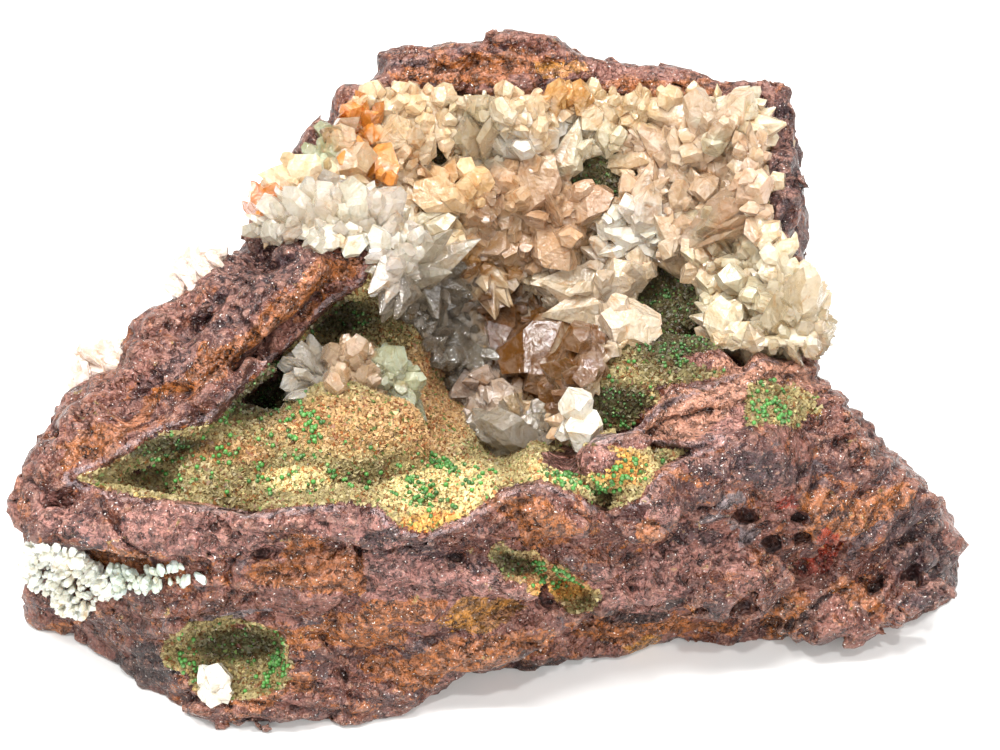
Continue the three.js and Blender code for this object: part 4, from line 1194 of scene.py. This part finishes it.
def pocket_piece():
    """The white crystal in the low left pocket, with a ring of small ones at its root."""
    dice = np.random.default_rng(SEED + 4)
    pile = Pile()
    _, _, length, width, kind, root, axis = next(planted([POCKET_CRYSTAL], plain_rock))
    colour = linear((232, 230, 222))
    add_group(pile, kind, length * 1.25, width, root - axis, axis, colour, dice)
    for turn in range(0, 360, 45):
        side = heading_axis(turn + dice.uniform(-15, 15), 0.9)
        add_crystal(pile, "block", 4.2, 3.0, root, side, colour, dice)
    return grown_together(pile, "pocket_crystals")


def arm_piece(name, places, number):
    """Pale crystals on the arm's far side, whose tips show past its edge."""
    dice = np.random.default_rng(SEED + 5 + number)
    pile = Pile()
    colour = linear((238, 222, 214))
    for count, (across, down) in enumerate(places):
        root = one_place(across, down, ARM_DRUSE_DEPTH)
        axis = heading_axis(118 + 14 * count, -0.2)
        add_group(pile, "blade", 8.5, 6, root, axis, colour, dice)
        for _ in range(5):
            spot = root + dice.normal(0, 1.6, 3)
            side = axis + dice.normal(0, 0.4, 3)
            add_crystal(pile, "block", 5.5, 3.4, spot, side, colour, dice)
    return grown_together(pile, name + "_crystals")


fan = fan_crystals()
stub = stub_piece()
druse = druse_piece()
pocket = pocket_piece()
arms = {
    name: arm_piece(name, places, number)
    for number, (name, places) in enumerate(ARM_DRUSES.items())
}


# Ochre grains and green beads
GRAIN_COUNT = 45000  # in each of the two pieces
GRAIN_SIZES = (0.26, 0.52)
GRAIN_COLOUR = (150, 136, 92)
# Grains in the recesses are dark olive: a green coating darkened with painted shade.
GRAIN_TINTS = [
    (PALE_GRAINS, (220, 202, 142)), (BROWN_GRAINS, (176, 138, 92)),
    (ORANGE_GRAINS, (214, 160, 80)), (MOSS_AND_SHADE_PLACES, (50, 54, 28)),
]
RUSTY_SHADE = (190, 140, 110)
GREEN_GRAIN = (92, 116, 56)
BEAD_COUNT = 1200
BEAD_SIZES = (0.27, 0.5)
BEAD_COLOUR = (70, 134, 54)
BEAD_PLACES = [
    (348, 466, 30, 26), (300, 440, 40, 30), (420, 480, 60, 24), (210, 462, 60, 26),
    (650, 380, 60, 34), (690, 366, 46, 28), (640, 410, 50, 20), (600, 176, 38, 26),
    (600, 160, 30, 16), (240, 655, 60, 36), (268, 672, 16, 22), (205, 650, 30, 10),
    (540, 575, 40, 16), (775, 412, 34, 40), (660, 300, 30, 36), (255, 390, 50, 36),
    (335, 320, 40, 20), (640, 470, 40, 14), (580, 480, 40, 12), (660, 122, 10, 10),
    (460, 505, 60, 14), (330, 480, 90, 16),
]


def grain_share(middles):
    return np.clip(graininess(middles) * 1.4 - 0.3, 0, 1) * (plain_rock(middles) < 3)


def tetrahedra(spots, sizes, dice):
    """Many small four-sided grains at once: corners and faces."""
    unit = np.array([(1, 1, 1), (1, -1, -1), (-1, 1, -1), (-1, -1, 1)]) * 0.75
    rings = [(0, 1, 2), (0, 3, 1), (0, 2, 3), (1, 3, 2)]
    turns = np.linalg.qr(dice.normal(0, 1, (len(spots), 3, 3)))[0]
    turns[np.linalg.det(turns) < 0] *= -1
    shape = unit * dice.uniform(0.75, 1.25, (len(spots), 1, 3)) * sizes[:, None, None]
    corners = spots[:, None, :] + shape @ turns
    faces = np.array(rings) + 4 * np.arange(len(spots))[:, None, None]
    return corners.reshape(-1, 3), faces.reshape(-1, 3)


def grain_colours(spots, dice):
    across, down, _, _ = seen(spots)
    base = np.tile(linear(GRAIN_COLOUR), (len(spots), 1))
    for rows, colour in GRAIN_TINTS:
        near = places_weight(rows, across, down)[:, None] * 0.9
        base = base * (1 - near) + linear(colour) * near
    spread = dice.uniform(0, 1, len(spots))
    base[spread > 0.80] *= linear(RUSTY_SHADE)
    base[spread > 0.90] *= 1.5
    base[spread > 0.95] = linear(GREEN_GRAIN)
    return base * (1 + dice.normal(0, 0.22, (len(spots), 1)))


def grains_piece(number):
    dice = np.random.default_rng(SEED + 20 + number)
    spots, ways = mesh_places(ROCK_VERTICES, ROCK_FACES, GRAIN_COUNT, grain_share, dice)
    sizes = dice.uniform(*GRAIN_SIZES, GRAIN_COUNT)
    corners, faces = tetrahedra(spots + ways * sizes[:, None] * 0.3, sizes, dice)
    tint = np.repeat(grain_colours(spots, dice), 4, 0)
    return new_object(f"ochre_grains_{number}", corners, faces, {"tint": np.clip(tint, 0, 1)})


def bead_share(middles):
    across, down, _, _ = seen(middles)
    clusters = smooth_step(noise(middles, 5, 120), 0.1, 0.5)
    return places_weight(BEAD_PLACES, across, down) * (graininess(middles) > 0.3) * (0.1 + clusters)


def beads_piece():
    dice = np.random.default_rng(SEED + 9)
    spots, ways = mesh_places(ROCK_VERTICES, ROCK_FACES, BEAD_COUNT, bead_share, dice)
    ball = bmesh.new()
    bmesh.ops.create_icosphere(ball, subdivisions=2, radius=1)
    unit = np.array([corner.co[:] for corner in ball.verts])
    rings = np.array([[corner.index for corner in face.verts] for face in ball.faces])
    ball.free()
    across, down, _, _ = seen(spots)
    shaded = places_weight(MOSS_AND_SHADE_PLACES, across, down)
    sizes = dice.uniform(*BEAD_SIZES, BEAD_COUNT) * (1 - 0.3 * shaded)
    middles = spots + ways * (sizes + 0.25)[:, None]
    corners = middles[:, None, :] + unit * sizes[:, None, None]
    faces = rings + len(unit) * np.arange(BEAD_COUNT)[:, None, None]
    shades = linear(BEAD_COLOUR) * dice.uniform(0.35, 1.15, (BEAD_COUNT, 1))
    # Beads in the recesses are darker: painted shade.
    shades = shades * (1 - 0.55 * shaded[:, None])
    tint = np.repeat(shades, len(unit), 0)
    return new_object(
        "green_beads", corners.reshape(-1, 3), faces.reshape(-1, 3), {"tint": tint}, smooth=True
    )


grains = [grains_piece(number) for number in (1, 2)]
beads = beads_piece()


# Materials
class Look:
    """A material's nodes, built on its shader."""

    def __init__(self, name):
        self.material = bpy.data.materials.new(name)
        self.material.use_nodes = True
        self.tree = self.material.node_tree
        self.shader = self.tree.nodes["Principled BSDF"]
        self.place = self.node("TexCoord", {}).outputs["Object"]

    def link(self, value, socket):
        if isinstance(value, bpy.types.NodeSocket):
            self.tree.links.new(value, socket)
        else:
            socket.default_value = value

    def node(self, kind, values, **settings):
        """A node with its settings, and its inputs by name or number."""
        made = self.tree.nodes.new("ShaderNode" + kind)
        for name, setting in settings.items():
            setattr(made, name, setting)
        for name, value in values.items():
            self.link(value, made.inputs[name])
        return made

    def zone(self, name, output="Fac"):
        return self.node("Attribute", {}, attribute_name=name).outputs[output]

    def noise(self, size, detail=4.0, rough=0.6, bend=0.0):
        """Random waves of a size in millimetres."""
        values = {"Vector": self.place, "Scale": 1000 / size, "Detail": detail}
        values.update({"Roughness": rough, "Distortion": bend})
        return self.node("TexNoise", values).outputs["Fac"]

    def cells(self, size):
        values = {"Vector": self.place, "Scale": 1000 / size}
        return self.node("TexVoronoi", values).outputs["Distance"]

    def sum(self, operation, a, b=0.0):
        return self.node("Math", {0: a, 1: b}, operation=operation).outputs[0]

    def times(self, a, b):
        return self.sum("MULTIPLY", a, b)

    def plus(self, a, b):
        return self.sum("ADD", a, b)

    def minus(self, a, b):
        return self.sum("SUBTRACT", a, b)

    def step(self, value, low, high):
        """Nought below a value and one above another."""
        values = {"Value": value, "From Min": low, "From Max": high}
        return self.node("MapRange", values, interpolation_type="SMOOTHSTEP").outputs[0]

    def mix(self, share, a, b, blend="MIX"):
        """One colour over another: each is a socket, or a picture's colour."""
        made = self.node("Mix", {0: share}, data_type="RGBA", blend_type=blend)
        colours = [socket for socket in made.inputs if socket.type == "RGBA"]
        for value, socket in zip((a, b), colours):
            fixed = not isinstance(value, bpy.types.NodeSocket)
            self.link((*linear(value), 1) if fixed else value, socket)
        return next(socket for socket in made.outputs if socket.type == "RGBA")

    def paint(self, under, share, strength, colour):
        """A colour laid over another at a strength, where its share is high."""
        return self.mix(self.times(share, strength), under, colour)

    def bump(self, height, deep, strength=1.0, under=None):
        values = {"Height": height, "Distance": deep * MM, "Strength": strength}
        if under is not None:
            values["Normal"] = under
        return self.node("Bump", values).outputs[0]

    def set(self, **values):
        for name, value in values.items():
            self.link(value, self.shader.inputs[name.replace("_", " ")])


# The colours of the rock, each band from its dark places to its light ones.
MAROON = (84, 50, 46), (146, 98, 86)
BROWN = (116, 68, 50)
RUST = (108, 58, 30), (186, 112, 54)
SLATE = (60, 50, 56), (116, 106, 110)
OCHRE = (150, 120, 72), (204, 176, 112)
DARK_SHARE = 0.62  # how much of a stain's colour its dark places keep


def rock_bands(look, wide, middling, fine):
    """Maroon and brown gossan with rusty and slaty bands."""
    colour = look.mix(look.step(wide, 0.42, 0.56), *MAROON)
    colour = look.mix(look.step(middling, 0.50, 0.56), colour, BROWN)
    rust = look.step(look.noise(7, 5, 0.7, 1.4), 0.55, 0.60)
    colour = look.paint(colour, rust, 0.85, look.mix(look.step(fine, 0.42, 0.58), *RUST))
    slate = look.step(look.noise(8.5, 5, 0.7, 1.0), 0.59, 0.62)
    return look.paint(colour, slate, 0.8, look.mix(look.step(fine, 0.44, 0.56), *SLATE))


def rock_stains(look, colour, middling, fine, ragged):
    """The stains and the painted shadow under two ridges, with ragged edges, then the dark lines of the
    beds and the grey rim.
    """
    for zone, (stain, _) in STAINS_AND_SHADOW_LINES.items():
        share = look.step(look.plus(look.zone(zone), ragged), 0.50, 0.60)
        share = look.times(share, look.step(look.zone(zone), 0.0, 0.2))
        dark = [DARK_SHARE * value for value in stain]
        colour = look.paint(colour, share, 0.85, look.mix(look.step(fine, 0.40, 0.58), dark, stain))
    layer = look.sum("FRACT", look.times(look.zone("bed"), 0.42))
    line = look.times(look.step(layer, 0.1, 0.35), look.step(layer, 0.62, 0.4))
    line = look.times(line, look.step(middling, 0.44, 0.54))
    colour = look.paint(colour, line, 0.5, (60, 38, 40))
    rim = look.step(look.plus(look.zone("rim"), look.times(ragged, 1.2)), 0.8, 1.0)
    colour = look.paint(colour, rim, 0.75, (160, 146, 150))
    return look.mix(1.0, colour, (232, 224, 222), "MULTIPLY")


def grainy_floor(look, middling, specks, ragged):
    """The ground under the grains, dark olive in the recesses: a green coating darkened with painted
    shade.
    """
    floor = look.mix(look.step(middling, 0.44, 0.56), *OCHRE)
    floor = look.mix(look.step(specks, 0.56, 0.7), floor, (92, 60, 40))
    shaded_moss = look.step(look.plus(look.zone("moss_and_shade"), ragged), 0.4, 0.7)
    return look.paint(floor, shaded_moss, 0.9, (54, 52, 26))


def rock_wear(look, colour, fine, specks, grainy):
    """Dust and painted top light on what faces up, painted shade in hollows, painted highlights on
    edges and specks.
    """
    ground = look.node("NewGeometry", {})
    bent, way = ground.outputs["Pointiness"], ground.outputs["Normal"]
    up = look.node("SeparateXYZ", {"Vector": way}).outputs["Z"]
    # Upward faces turn pale pink: partly dust, partly painted top light.
    dusty = look.times(look.step(up, 0.25, 0.95), look.step(fine, 0.42, 0.58))
    dusty = look.times(dusty, look.minus(0.35, grainy))
    colour = look.mix(look.sum("MAXIMUM", dusty, 0.0), colour, (196, 146, 130))
    # Painted shade: darker where the surface is hollow.
    colour = look.paint(colour, look.step(bent, 0.49, 0.42), 0.8, (30, 18, 20))
    # Painted highlight: paler on raised edges.
    colour = look.paint(colour, look.step(bent, 0.52, 0.58), 0.3, (190, 140, 118))
    # Painted glints: near-white specks.
    return look.paint(colour, look.step(specks, 0.72, 0.74), 0.85, (252, 244, 236))


def rock_look():
    """Stained gossan with a grainy ochre floor, fine grains and cracks."""
    look = Look("gossan rock")
    wide, middling = look.noise(14, 5, 0.6), look.noise(4.6, 4, 0.65, 1.0)
    fine, specks = look.noise(1.6, 3, 0.6, 0.5), look.noise(0.5, 1, 0.5)
    ragged = look.minus(look.plus(look.times(middling, 2.0), look.times(fine, 1.0)), 1.5)
    colour = rock_bands(look, wide, middling, fine)
    colour = rock_stains(look, colour, middling, fine, ragged)
    grainy = look.step(look.plus(look.zone("grainy"), ragged), 0.35, 0.6)
    colour = look.mix(grainy, colour, grainy_floor(look, middling, specks, ragged))
    dark_grain = look.step(look.noise(1.2, 2, 0.6, 0.6), 0.45, 0.36)
    colour = look.paint(colour, dark_grain, 0.5, (44, 24, 22))
    pale_grain = look.step(look.noise(0.8, 2, 0.6), 0.58, 0.66)
    colour = look.paint(colour, pale_grain, 0.4, (196, 150, 128))
    split = look.sum("ABSOLUTE", look.minus(look.noise(8, 5, 0.6, 1.2), 0.5))
    cracks = look.times(look.step(split, 0.012, 0.003), look.step(middling, 0.44, 0.5))
    colour = look.paint(colour, cracks, 0.85, (26, 16, 18))
    colour = rock_wear(look, colour, fine, specks, grainy)
    wet = look.step(look.plus(look.zone("wet"), ragged), 0.4, 0.6)
    shine = look.mix(look.step(middling, 0.45, 0.6), (150, 150, 150), (100, 100, 100))
    shine = look.mix(wet, shine, (50, 50, 50))
    crumbs = look.times(look.cells(1.4), look.step(wide, 0.40, 0.56))
    height = look.plus(look.noise(2.8, 4, 0.65, 0.5), look.times(crumbs, 0.4))
    coarse = look.bump(look.minus(height, look.times(cracks, 0.3)), 3.0)
    look.set(Base_Color=colour, Roughness=shine, Normal=look.bump(fine, 1.0, 1.0, coarse))
    return look.material


def crystal_look(name, clear, rough, cloud, deep=(214, 178, 140)):
    """Crystal tinted by its own colour, with milky clouds, painted shade in its clefts and growth
    lines.
    """
    look = Look(name)
    tint = look.zone("tint", "Color")
    clouds = look.step(look.noise(2.4, 5, 0.6, 0.3), 0.38, 0.62)
    dull = look.mix(1.0, tint, (240, 230, 216), "MULTIPLY")
    pale = look.mix(cloud, dull, look.mix(0.1, tint, (255, 252, 246)))
    colour = look.mix(clouds, dull, pale)
    # Painted shade: the clefts between crystals take the deep colour.
    cleft_shade = look.step(look.node("NewGeometry", {}).outputs["Pointiness"], 0.49, 0.36)
    colour = look.mix(cleft_shade, colour, look.mix(1.0, colour, deep, "MULTIPLY"))
    rusty = look.step(look.noise(6.5, 7, 0.8, 1.0), 0.54, 0.64)
    colour = look.paint(colour, rusty, 0.6, look.mix(1.0, colour, (246, 204, 150), "MULTIPLY"))
    dusty = look.step(look.noise(1.0, 6, 0.85), 0.62, 0.66)
    colour = look.paint(colour, dusty, 0.6, (140, 104, 66))
    steps = look.bump(look.noise(2.2, 2, 0.5, 0.6), 0.7)
    lines = look.bump(look.noise(0.6, 3, 0.6), 0.16, 1.0, steps)
    look.set(Base_Color=colour, Roughness=rough, Normal=lines, IOR=1.62, Transmission_Weight=clear)
    look.set(Subsurface_Weight=0.25, Subsurface_Radius=(1.0, 0.8, 0.55), Subsurface_Scale=1.5 * MM)
    look.set(Coat_Weight=0.35, Coat_Roughness=0.08, Coat_IOR=1.6, Coat_Normal=lines)
    return look.material


def grain_look():
    look = Look("ochre grains")
    tint = look.zone("tint", "Color")
    colour = look.mix(look.step(look.noise(0.5, 3), 0.4, 0.7), tint, (96, 66, 40))
    look.set(Base_Color=look.mix(0.45, tint, colour), Roughness=0.5, Specular_IOR_Level=0.5)
    return look.material


def bead_look():
    look = Look("green beads")
    tint = look.zone("tint", "Color")
    dusty = look.mix(look.step(look.noise(0.6, 4, 0.7), 0.48, 0.7), tint, (142, 168, 110))
    look.set(Base_Color=dusty, Roughness=0.4, Normal=look.bump(look.noise(0.25, 2), 0.06, 0.5))
    return look.material


def dress(piece, material, slot, *nodes):
    """Gives a piece its material, puts it under the root body and hides the nodes that it stands for.
    The slot is not used.
    """
    piece.data.materials.clear()
    piece.data.materials.append(material)
    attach(piece, "root")
    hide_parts(*nodes)


cream_look = crystal_look("cream crystal", 0.4, 0.1, 0.8)
clear_look = crystal_look("clear crystal", 0.7, 0.06, 0.6, (196, 190, 180))
white_look = crystal_look("white crystal", 0.25, 0.12, 0.8, (226, 218, 204))
druse_look = crystal_look("pale druse", 0.2, 0.1, 0.8, (210, 222, 216))
dress(gossan, rock_look(), "gossan", "gossan_matrix")
ochre = grain_look()
for piece in grains:
    dress(piece, ochre, "ochre_grains", "gossan_matrix")
dress(beads, bead_look(), "green_beads", "gossan_matrix")
dress(cream_crystals, cream_look, "cream_crystal", "crystal_crust")
dress(clear_crystals, clear_look, "clear_crystal", "crystal_crust")
dress(fan, clear_look, "clear_crystal", "fan_cluster")
dress(stub, white_look, "white_crystal", "stub_crystal")
dress(druse, druse_look, "pale_druse", "pocket_druse")
dress(pocket, white_look, "white_crystal", "pocket_crystal")
for name, piece in arms.items():
    dress(piece, white_look, "white_crystal", name)


# Floor, light and camera. Each light has its place and size in metres and its power in watts.
LIGHTS = {
    "key": ((-0.12, -0.16, 0.8), 0.3, 6.4),
    "fill": ((0.3, -0.7, 0.4), 0.6, 3.2),
    "back": ((0.1, 0.6, 0.6), 0.6, 2.0),
    "left spark": ((-0.4, -0.2, 0.6), 0.05, 2.0),
    "right spark": ((0.35, 0.1, 0.7), 0.05, 2.0),
    "near spark": ((0.02, -0.45, 0.75), 0.05, 2.0),
    "low spark": ((-0.2, -0.7, 0.35), 0.05, 1.4),
}
LIT_POINT = Vector((0, 0, 0.04))
SKY_STRENGTH = 0.5
FLOOR_HALF = 3.0
FLOOR_DROP = 0.0002  # below the underside, in metres
SENSOR_WIDTH = 36.0


def make_floor():
    mesh = bpy.data.meshes.new("floor")
    square = [(-1, -1, 0), (1, -1, 0), (1, 1, 0), (-1, 1, 0)]
    mesh.from_pydata([Vector(corner) * FLOOR_HALF for corner in square], [], [(0, 1, 2, 3)])
    floor = bpy.data.objects.new("floor", mesh)
    bpy.context.collection.objects.link(floor)
    floor.location.z = -FLOOR_DROP
    look = Look("pale floor")
    tone = look.mix(look.step(look.noise(60, 3), 0.3, 0.7), (238, 238, 236), (244, 244, 242))
    look.set(Base_Color=tone, Roughness=0.8)
    mesh.materials.append(look.material)


def make_light(name, place, size, power):
    light = bpy.data.lights.new(name, "AREA")
    light.shape = "DISK"
    light.size = size
    light.energy = power
    lamp = bpy.data.objects.new(name, light)
    lamp.location = place
    lamp.rotation_euler = (LIT_POINT - Vector(place)).to_track_quat("-Z", "Y").to_euler()
    bpy.context.collection.objects.link(lamp)


def make_sky():
    world = bpy.data.worlds.new("studio")
    world.use_nodes = True
    sky = world.node_tree.nodes["Background"]
    sky.inputs["Color"].default_value = (1, 1, 1, 1)
    sky.inputs["Strength"].default_value = SKY_STRENGTH
    bpy.context.scene.world = world


def make_camera():
    lens = bpy.data.cameras.new("camera")
    lens.sensor_width = SENSOR_WIDTH
    lens.lens = SENSOR_WIDTH * VIEW_DISTANCE / (SHEET[0] / POINTS_PER_MM)
    camera = bpy.data.objects.new("camera", lens)
    turn = Matrix([RIGHT.tolist(), UP.tolist(), (-AWAY).tolist()]).transposed()
    camera.matrix_world = Matrix.Translation(Vector(to_frame(EYE))) @ turn.to_4x4()
    bpy.context.collection.objects.link(camera)
    bpy.context.scene.camera = camera


make_floor()
for name, light in LIGHTS.items():
    make_light(name, *light)
make_sky()
bpy.context.scene.view_settings.view_transform = "Standard"
make_camera()
